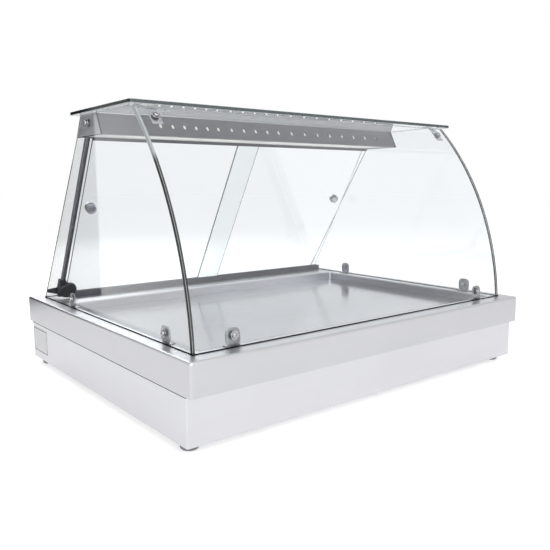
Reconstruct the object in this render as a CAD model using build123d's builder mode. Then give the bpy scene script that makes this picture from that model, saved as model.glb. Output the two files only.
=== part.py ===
from build123d import *
import math
import os

# Heated counter display case: a low steel base with a sunk hot plate, a hood of flat and bent glass,
# a lamp housing under the top glass and two glass doors that slide in a leaning rear plane.
# Origin: middle of the base on the counter. X runs along the customer's side, Y to the operator, Z up.

# Overall sizes
base_width = 800.0
base_depth = 673.0
foot_height = 13.0
casing_height = 75.0
rim_height = 52.0
hood_height = 359.0
sheet = 1.2
glass = 6.0

# Lower casing, set back under the rim
casing_side_setback = 1.0
casing_front_setback = 13.5
casing_rear_setback = 18.0
casing_corner_radius = 3.0
casing_top_flange = 14.0
casing_bottom_flange = 42.0

# Rim and sunk well
rim_corner_radius = 5.0
rim_edge_radius = 4.0
rim_return = 12.0
well_side_inset = 37.0
well_front_inset = 46.5
well_rear_inset = 136.5
well_depth = 20.0
well_corner_radius = 8.0
well_edge_radius = 1.5
plate_gap = 1.0
plate_thickness = 1.5
plate_edge = 0.5

# Feet
foot_diameter = 28.0
foot_side_inset = 22.0
foot_front_inset = 31.0
foot_recess_diameter = 13.0
foot_recess_depth = 6.0
foot_edge = 2.0

# Bottom plate and heating pack
bottom_gap = 2.0
vent_slot_length = 60.0
vent_slot_width = 5.0
vent_slot_columns = 4
vent_slot_rows = 8
vent_slot_column_pitch = 120.0
vent_slot_row_pitch = 20.0
base_screw_inset = 139.0
element_diameter = 8.0
element_runs = 6
element_end_gap = 80.0
element_edge_gap = 44.0
element_side_gap = 9.0
element_bend_slack = 1.0
element_tail = 60.0
strap_width = 14.0
strap_thickness = 1.5
strap_overhang = 24.0
strap_offset = 51.0
insulation_thickness = 12.0
tray_margin = 12.0
tray_lip = 10.0

# Hood glass
hood_side_inset = 24.0
joint = 0.5
hood_front_inset = 31.0
front_glass_run = 160.2
front_glass_foot_lean = 3.5
side_glass_rear_inset = 37.5
side_glass_extra_lean = 4.1
side_glass_corner = 4.0
top_glass_side_overhang = 12.0
top_glass_front_overhang = 13.7
top_glass_rear_overhang = 2.4
top_glass_corner = 5.0
glass_arris = 0.7
buffer_inset = 8.0
buffer_length = 12.0

# Glass brackets and their fasteners
bracket_width = 26.0
bracket_height = 28.0
bracket_sheet = 2.0
bracket_corner = 9.0
bracket_flange = 9.0
bracket_slack = 0.3
bracket_screw_height = 17.0
side_bracket_front_inset = 83.5
side_bracket_rear_inset = 151.0
front_bracket_inset = 72.0
screw_diameter = 5.0
screw_clearance = 0.4
screw_head_diameter = 9.0
screw_head_height = 2.6
washer_diameter = 14.0
washer_thickness = 1.2
nut_width = 8.0
nut_height = 4.0
nut_slack = 0.05

# Top clips, front glass to top glass
clip_side_inset = 31.0
clip_width = 18.0
clip_length = 24.0
clip_screw_drop = 20.0
clip_sheet = 2.0
clip_reach = 20.0
clip_gap = 0.25

# Lamp housing
housing_sheet = 1.0
housing_top_depth = 77.6
housing_front_run = 18.0
housing_drop = 37.0
housing_glass_gap = 0.5
housing_front_return = 16.0
housing_end_gap = 2.8
cap_thickness = 1.4
cap_flange = 8.0
cap_ledge = 70.0
vent_width = 5.0
vent_length = 8.0
vent_runs = ((-0.700, 6, 0.0678), (-0.276, 5, 0.0798), (0.1394, 8, 0.1003))
housing_screw_inset = 36.0
housing_screw_drop = 15.0
lamp_diameter = 12.0
lamp_end_radius = 2.0
lamp_end_gap = 41.0
lamp_middle_gap = 30.0
lamp_inset = 28.0
lamp_drop = 25.0
holder_length = 14.0
holder_width = 18.0
lens_thickness = 2.0
lens_bearing = 8.0
lens_rear_gap = 0.3
reflector_sheet = 0.6
reflector_half_width = 22.0

# Rear doors and their tracks, in a plane that leans forward
door_lean = 30.0
door_inset = 64.5
door_spacing = 10.4
door_glass = 4.0
door_rise = 5.0
door_head_gap = 33.5
door_middle = 8.0
door_overlap = 50.0
door_side_gap = 1.5
left_knob_inset = 20.0
right_knob_inset = 30.0
knob_slope_height = 226.0
knob_diameter = 22.0
knob_height = 8.0
knob_pane_clearance = 1.4
knob_stem = 8.0
knob_fit = 0.3
knob_seat_gap = 0.1
knob_draft = 6.0
groove_clearance = 0.7
groove_floor_gap = 1.0
track_front_reach = 18.0
track_height = 13.0
track_wall = 2.0
top_track_drop = 27.5
top_track_height = 15.0
top_track_roof = 3.0

# Lamp conduit with its moulded foot
conduit_side_gap = 20.0
conduit_diameter = 10.0
conduit_bore = 8.0
conduit_start = 22.0
conduit_head_gap = 18.5
conduit_door_gap = 2.0
conduit_fit = 0.1
foot_block_width = 14.0
foot_block_offset = 0.5
foot_block_low = 9.0
foot_block_high = 46.0
foot_block_depth = 7.0
foot_disc_diameter = 36.0
foot_disc_thickness = 7.0
foot_disc_edge = 2.3
foot_disc_offset = 9.0
foot_disc_rise = 28.0
foot_disc_door_gap = 1.2
foot_disc_track_gap = 1.0
boot_start_rise = 15.0
boot_start_offset = 5.5
boot_start_radius = 9.0
boot_end_offset = 14.5
boot_end_reach = 25.0
boot_end_height = 13.0
boot_end_radius = 4.0
lead_diameter = 5.0
lead_turn_radius = 8.0
lead_reach = 12.0
lead_drop = 26.0

# Controls on the rear wall
panel_gland_pitch = 185.0
panel_width = 240.0
panel_bottom_gap = 10.0
panel_top_gap = 11.0
panel_thickness = 1.5
panel_corner = 4.0
panel_lap = 8.0
window_gap = 2.0
panel_screw_inset = 6.0
panel_screw_diameter = 5.0
panel_screw_height = 1.3
dial_place = -75.0
heat_pilot_place = -30.0
heat_switch_place = 10.0
lamp_switch_place = 60.0
mains_pilot_place = 100.0
dial_diameter = 38.0
dial_skirt = 4.0
dial_height = 12.0
dial_gap = 0.6
dial_draft = 10.0
dial_grip_width = 9.0
dial_grip_corner = 3.0
spindle_diameter = 6.0
spindle_fit = 0.05
spindle_in_dial = 6.0
spindle_in_body = 13.0
bush_diameter = 12.0
thermostat_size = 34.0
thermostat_depth = 26.0
bulb_diameter = 5.4
bulb_length = 108.0
bulb_inset = 48.0
switch_width = 22.0
switch_height = 30.0
switch_flange = 2.0
switch_rim = 2.5
switch_depth = 24.0
rocker_gap = 0.5
rocker_end_gap = 1.5
rocker_tilt = 10.0
rocker_pivot_inset = 6.0
rocker_proud = 0.5
rocker_back = 2.5
rocker_pin = 3.0
rocker_pin_gap = 0.1
pilot_diameter = 10.0
pilot_flange = 13.0
pilot_proud = 4.0
pilot_draft = 12.0
pilot_depth = 18.0
gland_inset = 44.0
gland_rise = 27.0
gland_thread = 16.0
gland_tail = 7.5
gland_hex = 20.0
gland_hex_length = 7.5
gland_dome = 15.0
gland_draft = 5.0
gland_bore = 8.0
gland_length = 15.0
terminal_offset = 60.0
terminal_inset = 40.0
terminal_length = 40.0
terminal_width = 20.0
terminal_height = 20.0
terminal_pitch = 10.0
terminal_row_pitch = 15.0
terminal_hole_diameter = 3.4
terminal_hole_depth = 2.5
cutout_diameter = 16.0
cutout_height = 8.0
cutout_flange_length = 32.0
cutout_flange_width = 8.0
cutout_inset = 36.0

# Rating plate, bare, on the left wall
rating_length = 78.0
rating_thickness = 0.8
rating_corner = 1.6
rating_rear_inset = 47.5
rating_bottom_gap = 15.5
rating_top_gap = 9.5

# Heights and places that follow from the sizes above
casing_bottom = foot_height
casing_top = casing_bottom + casing_height
rim_bottom = casing_top
deck_top = rim_bottom + rim_height
hood_top = deck_top + hood_height
casing_half_width = base_width / 2 - casing_side_setback
casing_front = -base_depth / 2 + casing_front_setback
casing_rear = base_depth / 2 - casing_rear_setback
casing_depth = casing_rear - casing_front
casing_middle = (casing_front + casing_rear) / 2
well_floor = deck_top - well_depth
well_underside = well_floor - sheet
well_half_width = base_width / 2 - well_side_inset
well_front = -base_depth / 2 + well_front_inset
well_rear = base_depth / 2 - well_rear_inset
well_middle = (well_front + well_rear) / 2
well_length = well_rear - well_front
element_half_run = (well_half_width - element_edge_gap - element_side_gap) / 2
element_pitch = (well_length - 2 * element_end_gap) / (element_runs - 1)
base_screw_pitch = casing_half_width - base_screw_inset

# Hood: the bent glass is an arc from its foot, with the lean it has there, to its run at the top
side_glass_outer = base_width / 2 - hood_side_inset
side_glass_inner = side_glass_outer - glass
front_glass_foot = -base_depth / 2 + hood_front_inset
foot_cos = math.cos(math.radians(front_glass_foot_lean))
foot_sin = math.sin(math.radians(front_glass_foot_lean))
front_glass_chord = math.hypot(front_glass_run, hood_height)
front_glass_radius = front_glass_chord**2 / (2 * (front_glass_run * foot_cos - hood_height * foot_sin))
arc_centre_y = front_glass_foot + front_glass_radius * foot_cos
arc_centre_z = deck_top - front_glass_radius * foot_sin
side_glass_rear_foot = base_depth / 2 - side_glass_rear_inset
side_glass_rear_lean = door_lean + side_glass_extra_lean
side_bracket_front = front_glass_foot + side_bracket_front_inset
side_bracket_rear = side_glass_rear_foot - side_bracket_rear_inset
front_bracket_x = side_glass_outer - front_bracket_inset
clip_x = side_glass_outer - clip_side_inset

# Doors and housing: the housing's rear wall lies against the doors' top track
door_foot = base_depth / 2 - door_inset
door_cos = math.cos(math.radians(door_lean))
door_slope = math.tan(math.radians(door_lean))
hood_slope = hood_height / door_cos
door_top = hood_slope - door_head_gap
knob_low_height = door_spacing - door_glass - knob_pane_clearance
top_track_top = hood_slope - top_track_drop
conduit_x = conduit_side_gap - side_glass_inner
conduit_end = hood_slope - conduit_head_gap
door_left = conduit_x + conduit_diameter / 2 + conduit_door_gap
track_half_thickness = door_spacing / 2 + door_glass / 2 + groove_clearance + track_wall
track_half_run = track_half_thickness / door_cos
housing_top = hood_top - housing_glass_gap
housing_low = hood_top - housing_drop
housing_rear = door_foot + (track_half_thickness + housing_sheet) / door_cos
housing_rear_top = housing_rear - (housing_top - deck_top) * door_slope
housing_rear_foot = housing_rear - (housing_low - deck_top) * door_slope
housing_front_top = housing_rear_top - housing_top_depth
housing_front_foot = housing_front_top - housing_front_run
housing_screw_y = housing_front_top + housing_screw_inset
housing_screw_z = hood_top - housing_screw_drop
lamp_y = housing_front_top + lamp_inset
lamp_z = hood_top - lamp_drop
lamp_length = side_glass_inner - lamp_end_gap - holder_length - lamp_middle_gap / 2
lamp_pitch = lamp_length + lamp_middle_gap

# Controls: the panel fills the casing's rear wall in height and stands beside the mains gland
panel_height = casing_height - panel_bottom_gap - panel_top_gap
control_height = casing_bottom + panel_bottom_gap + panel_height / 2
gland_x = gland_inset - casing_half_width
gland_height = casing_bottom + gland_rise
panel_x = gland_x + panel_gland_pitch
knob_x = panel_x + dial_place
rating_height = casing_height - rating_bottom_gap - rating_top_gap

os.makedirs("parts", exist_ok=True)


def finish(piece, name):
    """Label a finished piece and write it under its name."""
    piece.part.label = name
    export_step(piece.part, f"parts/{name}.step")


def on_arc(radius, height):
    """Point (y, z) at a height on a circle about the bent glass's centre."""
    rise = height - arc_centre_z
    return (arc_centre_y - math.sqrt(radius**2 - rise**2), height)


def arc_lean(radius, height):
    """Lean from upright, in degrees, of a circle about the bent glass's centre, at a height."""
    return math.degrees(math.asin((height - arc_centre_z) / radius))


def arc_between(radius, low, high):
    """Three points (y, z) of the bent glass's circle between two heights."""
    return on_arc(radius, low), on_arc(radius, (low + high) / 2), on_arc(radius, high)


def glass_plane(x, y, z, inward, lean):
    """Plane on a glass face: local Z points into the hood, local Y up the glass."""
    across = math.cos(math.radians(lean))
    z_dir = (inward[0] * across, inward[1] * across, -math.sin(math.radians(lean)))
    return Plane(origin=(x, y, z), x_dir=(-inward[1], inward[0], 0), z_dir=z_dir)


def door_plane(offset=0.0):
    """Plane of the rear doors: local X along the case, local Y up the slope, local Z to the inside."""
    lean = math.radians(door_lean)
    inward = (0, -math.cos(lean), -math.sin(lean))
    return Plane(origin=(0, door_foot, deck_top), x_dir=(1, 0, 0), z_dir=inward).offset(offset)


# Boot of the lamp lead at the conduit's foot, and the point where the lead turns down behind it
boot_seat = door_plane(-foot_block_depth)
boot_start_x = conduit_x - boot_start_offset
boot_from = boot_seat.from_local_coords((boot_start_x, boot_start_rise, 0))
boot_to = Vector(conduit_x - boot_end_offset, door_foot + boot_end_reach, deck_top + boot_end_height)
lead_turn = boot_to + (boot_to - boot_from).normalized() * lead_reach
lead_hole = (lead_turn.X, lead_turn.Y)

# Lower casing: folded sheet box, open at the top, with flanges turned in at top and bottom
with BuildPart() as lower_casing:
    with BuildSketch(Plane.XY.offset(casing_bottom)):
        with Locations((0, casing_middle)):
            RectangleRounded(2 * casing_half_width, casing_depth, casing_corner_radius)
            Rectangle(
                2 * (casing_half_width - casing_bottom_flange),
                casing_depth - 2 * casing_bottom_flange,
                mode=Mode.SUBTRACT,
            )
    extrude(amount=sheet)
    with BuildSketch(Plane.XY.offset(casing_bottom)):
        with Locations((0, casing_middle)):
            RectangleRounded(2 * casing_half_width, casing_depth, casing_corner_radius)
            RectangleRounded(
                2 * (casing_half_width - sheet),
                casing_depth - 2 * sheet,
                casing_corner_radius - sheet,
                mode=Mode.SUBTRACT,
            )
    extrude(amount=casing_height)
    with BuildSketch(Plane.XY.offset(casing_top - sheet)):
        with Locations((0, casing_middle)):
            RectangleRounded(2 * casing_half_width, casing_depth, casing_corner_radius)
            Rectangle(
                2 * (casing_half_width - casing_top_flange),
                casing_depth - 2 * casing_top_flange,
                mode=Mode.SUBTRACT,
            )
    extrude(amount=sheet)
    # Window for the controls and hole for the mains gland, in the rear wall
    with BuildSketch(Plane.XZ.offset(-casing_rear - sheet)):
        with Locations((panel_x, control_height)):
            Rectangle(panel_width - 2 * panel_lap, max(thermostat_size, switch_height) + 2 * window_gap)
        with Locations((gland_x, gland_height)):
            Circle(gland_thread / 2 + screw_clearance)
    extrude(amount=3 * sheet, mode=Mode.SUBTRACT)
    # Holes for the foot screws
    with BuildSketch(Plane.XY.offset(casing_bottom)):
        with Locations((0, casing_middle)):
            with GridLocations(
                2 * (casing_half_width - foot_side_inset), casing_depth - 2 * foot_front_inset, 2, 2
            ):
                Circle(screw_diameter / 2 + screw_clearance)
    extrude(amount=sheet, mode=Mode.SUBTRACT)
    # Hole for the lamp lead in the top flange
    with BuildSketch(Plane.XY.offset(casing_top)):
        with Locations(lead_hole):
            Circle(lead_diameter / 2 + screw_clearance)
    extrude(amount=-2 * sheet, mode=Mode.SUBTRACT)
finish(lower_casing, "lower_casing")

# Deck pan: folded rim with rounded edges, flat deck and sunk well, one sheet
with BuildPart() as deck_pan:
    with BuildSketch(Plane.XY.offset(rim_bottom)):
        RectangleRounded(base_width, base_depth, rim_corner_radius)
    extrude(amount=rim_height)
    fillet(deck_pan.edges().group_by(Axis.Z)[-1], rim_edge_radius)
    offset(amount=-sheet, openings=deck_pan.faces().sort_by(Axis.Z)[0])
    with BuildSketch(Plane.XY.offset(rim_bottom)):
        RectangleRounded(base_width, base_depth, rim_corner_radius)
        Rectangle(base_width - 2 * rim_return, base_depth - 2 * rim_return, mode=Mode.SUBTRACT)
    extrude(amount=sheet)
    with BuildSketch(Plane.XY.offset(well_underside)):
        with Locations((0, well_middle)):
            RectangleRounded(
                2 * (well_half_width + sheet), well_length + 2 * sheet, well_corner_radius + sheet
            )
    extrude(amount=deck_top - well_underside)
    with BuildSketch(Plane.XY.offset(well_floor)):
        with Locations((0, well_middle)):
            RectangleRounded(2 * well_half_width, well_length, well_corner_radius)
    extrude(amount=well_depth, mode=Mode.SUBTRACT)
    well_mouth = deck_pan.edges().group_by(Axis.Z)[-1].filter_by(
        lambda edge: abs(edge.center().X) < well_half_width + sheet
        and well_front - sheet < edge.center().Y < well_rear + sheet
    )
    fillet(well_mouth, well_edge_radius)
    # Hole for the lamp lead behind the conduit's foot
    with BuildSketch(Plane.XY.offset(deck_top)):
        with Locations(lead_hole):
            Circle(lead_diameter / 2 + screw_clearance)
    extrude(amount=-2 * sheet, mode=Mode.SUBTRACT)
finish(deck_pan, "deck_pan")

# Hot plate lying in the well
with BuildPart() as hot_plate:
    with BuildSketch(Plane.XY.offset(well_floor)):
        with Locations((0, well_middle)):
            RectangleRounded(
                2 * (well_half_width - plate_gap), well_length - 2 * plate_gap, well_corner_radius - plate_gap
            )
    extrude(amount=plate_thickness)
    fillet(hot_plate.edges().group_by(Axis.Z)[-1], plate_edge)
finish(hot_plate, "hot_plate")

# Two serpentine heating elements clamped to the underside of the well
element_level = well_underside - element_diameter / 2
element_centre = element_half_run + element_side_gap
for side, name in ((-1, "heating_element_left"), (1, "heating_element_right")):
    centre_x = side * element_centre
    first_y = well_middle - element_pitch * (element_runs - 1) / 2
    route = []
    for run in range(element_runs):
        start = -1 if run % 2 == 0 else 1
        y = first_y + run * element_pitch
        route.append((centre_x + start * element_half_run, y, element_level))
        route.append((centre_x - start * element_half_run, y, element_level))
    route[0] = (route[0][0] + element_tail, route[0][1], element_level)
    with BuildPart() as heating_element:
        with BuildLine() as element_route:
            FilletPolyline(*route, radius=element_pitch / 2 - element_bend_slack)
        with BuildSketch(Plane(origin=element_route.line @ 0, z_dir=element_route.line % 0)):
            Circle(element_diameter / 2)
        sweep()
    finish(heating_element, name)

# Straps under the elements, with legs turned up to the well
strap_level = element_level - element_diameter / 2
strap_length = element_pitch * (element_runs - 1) + 2 * strap_overhang
with BuildPart() as element_straps:
    for side in (-1, 1):
        for end in (-1, 1):
            strap_x = side * element_centre + end * strap_offset
            with BuildSketch(Plane.YZ.offset(strap_x - strap_width / 2)):
                with Locations((well_middle, strap_level - strap_thickness / 2)):
                    Rectangle(strap_length, strap_thickness)
                for leg in (-1, 1):
                    with Locations((well_middle + leg * (strap_length - strap_thickness) / 2, strap_level)):
                        Rectangle(strap_thickness, element_diameter, align=(Align.CENTER, Align.MIN))
            extrude(amount=strap_width)
finish(element_straps, "element_straps")

# Heat shield tray hung from the well, with the insulation board in it
insulation_top = strap_level - strap_thickness
tray_floor = insulation_top - insulation_thickness
tray_width = 2 * (well_half_width - tray_margin)
tray_length = well_length - 2 * tray_margin
with BuildPart() as insulation_board:
    with BuildSketch(Plane.XY.offset(tray_floor)):
        with Locations((0, well_middle)):
            Rectangle(tray_width - 2 * sheet, tray_length - 2 * sheet)
    extrude(amount=insulation_thickness)
finish(insulation_board, "insulation_board")

with BuildPart() as heat_shield_tray:
    with BuildSketch(Plane.XY.offset(tray_floor - sheet)):
        with Locations((0, well_middle)):
            Rectangle(tray_width, tray_length)
    extrude(amount=well_underside - tray_floor + sheet)
    with BuildSketch(Plane.XY.offset(well_underside - sheet)):
        with Locations((0, well_middle)):
            Rectangle(tray_width + 2 * tray_lip, tray_length + 2 * tray_lip)
    extrude(amount=sheet)
    with BuildSketch(Plane.XY.offset(tray_floor)):
        with Locations((0, well_middle)):
            Rectangle(tray_width - 2 * sheet, tray_length - 2 * sheet)
    extrude(amount=well_underside - tray_floor, mode=Mode.SUBTRACT)
finish(heat_shield_tray, "heat_shield_tray")

# Bottom plate with vent slots, lying on the casing's bottom flange
bottom_plate_z = casing_bottom + sheet
with BuildPart() as bottom_plate:
    with BuildSketch(Plane.XY.offset(bottom_plate_z)):
        with Locations((0, casing_middle)):
            Rectangle(
                2 * (casing_half_width - sheet - bottom_gap), casing_depth - 2 * (sheet + bottom_gap)
            )
            with GridLocations(
                vent_slot_column_pitch, vent_slot_row_pitch, vent_slot_columns, vent_slot_rows
            ):
                SlotOverall(vent_slot_length, vent_slot_width, mode=Mode.SUBTRACT)
            with GridLocations(
                2 * (casing_half_width - foot_side_inset), casing_depth - 2 * foot_front_inset, 2, 2
            ):
                Circle(screw_diameter / 2 + screw_clearance, mode=Mode.SUBTRACT)
    extrude(amount=sheet)
finish(bottom_plate, "bottom_plate")

# Four rubber feet with a screw sunk in each
foot_places = {
    "foot_front_left": (-1, -1),
    "foot_front_right": (1, -1),
    "foot_rear_left": (-1, 1),
    "foot_rear_right": (1, 1),
}
foot_x = casing_half_width - foot_side_inset
foot_y = casing_depth / 2 - foot_front_inset
for name, (side, end) in foot_places.items():
    with BuildPart() as foot:
        with BuildSketch(Plane(origin=(side * foot_x, casing_middle + end * foot_y, 0))):
            Circle(foot_diameter / 2)
        extrude(amount=foot_height)
        chamfer(foot.edges().group_by(Axis.Z)[0], foot_edge)
        with BuildSketch(Plane(origin=(side * foot_x, casing_middle + end * foot_y, 0))):
            Circle(foot_recess_diameter / 2)
        extrude(amount=foot_recess_depth, mode=Mode.SUBTRACT)
        with BuildSketch(Plane(origin=(side * foot_x, casing_middle + end * foot_y, 0))):
            Circle(screw_diameter / 2)
        extrude(amount=foot_height, mode=Mode.SUBTRACT)
    finish(foot, name)

# Screws under the base: one in each foot, and three in the flange at the front and at the rear
with BuildPart() as base_screws:
    for diameter, low, high in (
        (screw_head_diameter, foot_recess_depth - screw_head_height, foot_recess_depth),
        (screw_diameter, foot_recess_depth, bottom_plate_z + 3 * sheet),
    ):
        with BuildSketch(Plane.XY.offset(low)):
            with Locations((0, casing_middle)):
                with GridLocations(2 * foot_x, 2 * foot_y, 2, 2):
                    Circle(diameter / 2)
        extrude(amount=high - low)
    with BuildSketch(Plane.XY.offset(casing_bottom - screw_head_height)):
        with Locations((0, casing_middle)):
            with GridLocations(base_screw_pitch, casing_depth - casing_bottom_flange, 3, 2):
                Circle(screw_head_diameter / 2)
    extrude(amount=screw_head_height)
finish(base_screws, "base_screws")

# Seats of the tabs and clips that hold the glass, on its inner faces at the screws
bracket_screw_z = deck_top + bracket_screw_height
clip_z = hood_top - clip_screw_drop
inner_radius = front_glass_radius - glass


def front_seat(x, height):
    """Plane on the bent glass's inner face."""
    y = on_arc(inner_radius, height)[0]
    return glass_plane(x, y, height, (0, 1), arc_lean(inner_radius, height))


side_seats = [
    glass_plane(side * side_glass_inner, y, bracket_screw_z, (-side, 0), 0)
    for side in (-1, 1)
    for y in (side_bracket_front, side_bracket_rear)
]
front_seats = [front_seat(side * front_bracket_x, bracket_screw_z) for side in (-1, 1)]
clip_seats = [front_seat(side * clip_x, clip_z) for side in (-1, 1)]

# Flat side glasses with a bent front edge and a leaning rear edge
side_edge_radius = front_glass_radius - glass - joint
side_top = hood_top - joint
rear_top_y = side_glass_rear_foot - (side_top - deck_top) * math.tan(math.radians(side_glass_rear_lean))
for side, name in ((-1, "side_glass_left"), (1, "side_glass_right")):
    with BuildPart() as side_glass:
        with BuildSketch(Plane.YZ.offset(side * (side_glass_outer - glass / 2) - glass / 2)) as outline:
            with BuildLine():
                front_edge = ThreePointArc(*arc_between(side_edge_radius, deck_top, side_top))
                Polyline(
                    front_edge @ 1, (rear_top_y, side_top), (side_glass_rear_foot, deck_top), front_edge @ 0
                )
            make_face()
            fillet(outline.vertices().group_by(Axis.Y)[-1], side_glass_corner)
            with Locations(
                (side_bracket_front, bracket_screw_z),
                (side_bracket_rear, bracket_screw_z),
                (housing_screw_y, housing_screw_z),
            ):
                Circle(screw_diameter / 2 + screw_clearance, mode=Mode.SUBTRACT)
        extrude(amount=glass)
    finish(side_glass, name)

# Bent front glass
pane_top = hood_top - 2 * joint
with BuildPart() as front_glass:
    with BuildSketch(Plane.YZ.offset(-side_glass_outer)):
        with BuildLine():
            outer = ThreePointArc(*arc_between(front_glass_radius, deck_top, pane_top))
            inner = ThreePointArc(*arc_between(front_glass_radius - glass, deck_top, pane_top))
            Line(outer @ 1, inner @ 1)
            Line(outer @ 0, inner @ 0)
        make_face()
    extrude(amount=2 * side_glass_outer)
    for seat in front_seats + clip_seats:
        with BuildSketch(seat):
            Circle(screw_diameter / 2 + screw_clearance)
        extrude(amount=2 * glass, both=True, mode=Mode.SUBTRACT)
finish(front_glass, "front_glass")

# Flat top glass
top_glass_width = 2 * (side_glass_outer + top_glass_side_overhang)
top_glass_front = on_arc(front_glass_radius, hood_top)[0] - top_glass_front_overhang
top_glass_rear = housing_rear_top + top_glass_rear_overhang
with BuildPart() as top_glass:
    with BuildSketch(Plane.XY.offset(hood_top)):
        with Locations((0, (top_glass_front + top_glass_rear) / 2)):
            RectangleRounded(top_glass_width, top_glass_rear - top_glass_front, top_glass_corner)
    extrude(amount=glass)
    chamfer(top_glass.edges().group_by(Axis.Z)[-1] + top_glass.edges().group_by(Axis.Z)[0], glass_arris)
finish(top_glass, "top_glass")

# Clear buffers between the side glasses and the top glass
with BuildPart() as glass_buffers:
    with BuildSketch(Plane.XY.offset(side_top)):
        for buffer_y in (on_arc(side_edge_radius, side_top)[0] + buffer_inset, rear_top_y - buffer_inset):
            for side in (-1, 1):
                with Locations((side * (side_glass_outer - glass / 2), buffer_y)):
                    Rectangle(glass, buffer_length)
    extrude(amount=joint)
finish(glass_buffers, "glass_buffers")

# Upright tabs on the deck that hold the glass, each with a flange turned to the inside
for seats, name in ((side_seats, "side_brackets"), (front_seats, "front_brackets")):
    with BuildPart() as brackets:
        for seat in seats:
            with BuildSketch(seat.offset(bracket_slack)) as tab:
                with Locations((0, bracket_height - bracket_screw_height)):
                    Rectangle(
                        bracket_width, bracket_height - bracket_sheet / 2, align=(Align.CENTER, Align.MAX)
                    )
                fillet(tab.vertices().group_by(Axis.Z)[-1], bracket_corner)
                Circle(screw_diameter / 2 + screw_clearance, mode=Mode.SUBTRACT)
            extrude(amount=bracket_sheet)
            foot = seat.from_local_coords((0, -bracket_screw_height, bracket_slack + bracket_sheet / 2))
            with BuildSketch(Plane(origin=(foot.X, foot.Y, deck_top), x_dir=seat.x_dir, z_dir=(0, 0, 1))):
                Rectangle(bracket_width, bracket_flange, align=(Align.CENTER, Align.MAX))
            extrude(amount=bracket_sheet)
    finish(brackets, name)

# Bent clips from the front glass up to the underside of the top glass
clip_radius = inner_radius - bracket_slack
clip_low = clip_z - clip_length / 2
clip_top = hood_top - clip_gap
for side, name in ((-1, "top_clip_left"), (1, "top_clip_right")):
    with BuildPart() as top_clip:
        with BuildSketch(Plane.YZ.offset(side * clip_x - clip_width / 2)):
            with BuildLine():
                outer = ThreePointArc(*arc_between(clip_radius, clip_low, clip_top))
                inner = ThreePointArc(*arc_between(clip_radius - clip_sheet, clip_low, clip_top))
                Line(outer @ 0, inner @ 0)
                Line(outer @ 1, inner @ 1)
            make_face()
            with Locations(on_arc(clip_radius, clip_top)):
                Rectangle(clip_reach, clip_sheet, align=(Align.MIN, Align.MAX))
        extrude(amount=clip_width)
        fillet(top_clip.edges().group_by(Axis.Z)[0].filter_by(Axis.Y), clip_sheet)
        with BuildSketch(front_seat(side * clip_x, clip_z)):
            Circle(screw_diameter / 2 + screw_clearance)
        extrude(amount=2 * clip_sheet, mode=Mode.SUBTRACT)
    finish(top_clip, name)

# Screws, washers and nuts of the tabs and clips, and of the lamp housing's caps
cap_seats = [
    glass_plane(side * side_glass_inner, housing_screw_y, housing_screw_z, (-side, 0), 0)
    for side in (-1, 1)
]
clamped = [(seat, bracket_slack + bracket_sheet) for seat in side_seats + front_seats]
clamped += [(seat, bracket_slack + clip_sheet + nut_slack) for seat in clip_seats]
clamped += [(seat, cap_thickness) for seat in cap_seats]
head_seat = glass + washer_thickness
with BuildPart() as glass_screws:
    for seat, grip in clamped:
        with BuildSketch(seat.offset(-head_seat)):
            Circle(screw_head_diameter / 2)
        extrude(amount=-screw_head_height)
        with BuildSketch(seat.offset(-head_seat)):
            Circle(screw_diameter / 2)
        extrude(amount=head_seat + grip)
finish(glass_screws, "glass_screws")

with BuildPart() as glass_washers:
    for seat, _ in clamped:
        with BuildSketch(seat.offset(-head_seat)):
            Circle(washer_diameter / 2)
            Circle(screw_diameter / 2, mode=Mode.SUBTRACT)
        extrude(amount=washer_thickness)
finish(glass_washers, "glass_washers")

with BuildPart() as glass_nuts:
    for seat, grip in clamped:
        with BuildSketch(seat.offset(grip)):
            RegularPolygon(nut_width / 2, 6, major_radius=False)
        extrude(amount=nut_height)
finish(glass_nuts, "glass_nuts")

# Lamp housing: folded cover, open below between two returns, with vent holes in its front
cover_half_length = side_glass_inner - cap_thickness - housing_end_gap
cover_corners = (
    (housing_front_foot, housing_low),
    (housing_front_top, housing_top),
    (housing_rear_top, housing_top),
    (housing_rear_foot, housing_low),
)
face_rise = housing_top - housing_low
face_run = housing_front_top - housing_front_foot
face_angle = math.atan2(face_run, face_rise)
with BuildPart() as housing_cover:
    with BuildSketch(Plane.YZ.offset(-cover_half_length)) as section:
        with BuildLine():
            Polyline(*cover_corners, close=True)
        make_face()
        offset(amount=-housing_sheet, kind=Kind.INTERSECTION, mode=Mode.SUBTRACT)
        with Locations((housing_front_foot + housing_front_return, housing_low)):
            Rectangle(
                housing_rear_foot - housing_front_foot,
                housing_sheet,
                align=(Align.MIN, Align.MIN),
                mode=Mode.SUBTRACT,
            )
    extrude(amount=2 * cover_half_length)
    vent_middle = (
        0,
        (housing_front_foot + housing_front_top) / 2,
        (housing_low + housing_top) / 2,
    )
    vent_plane = Plane(
        origin=vent_middle, x_dir=(1, 0, 0), z_dir=(0, -math.cos(face_angle), math.sin(face_angle))
    )
    with BuildSketch(vent_plane.offset(housing_sheet)):
        for first, count, pitch in vent_runs:
            with Locations(*[((first + pitch * step) * cover_half_length, 0) for step in range(count)]):
                SlotOverall(vent_length, vent_width, rotation=90)
    extrude(amount=-3 * housing_sheet, mode=Mode.SUBTRACT)
finish(housing_cover, "housing_cover")

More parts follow.
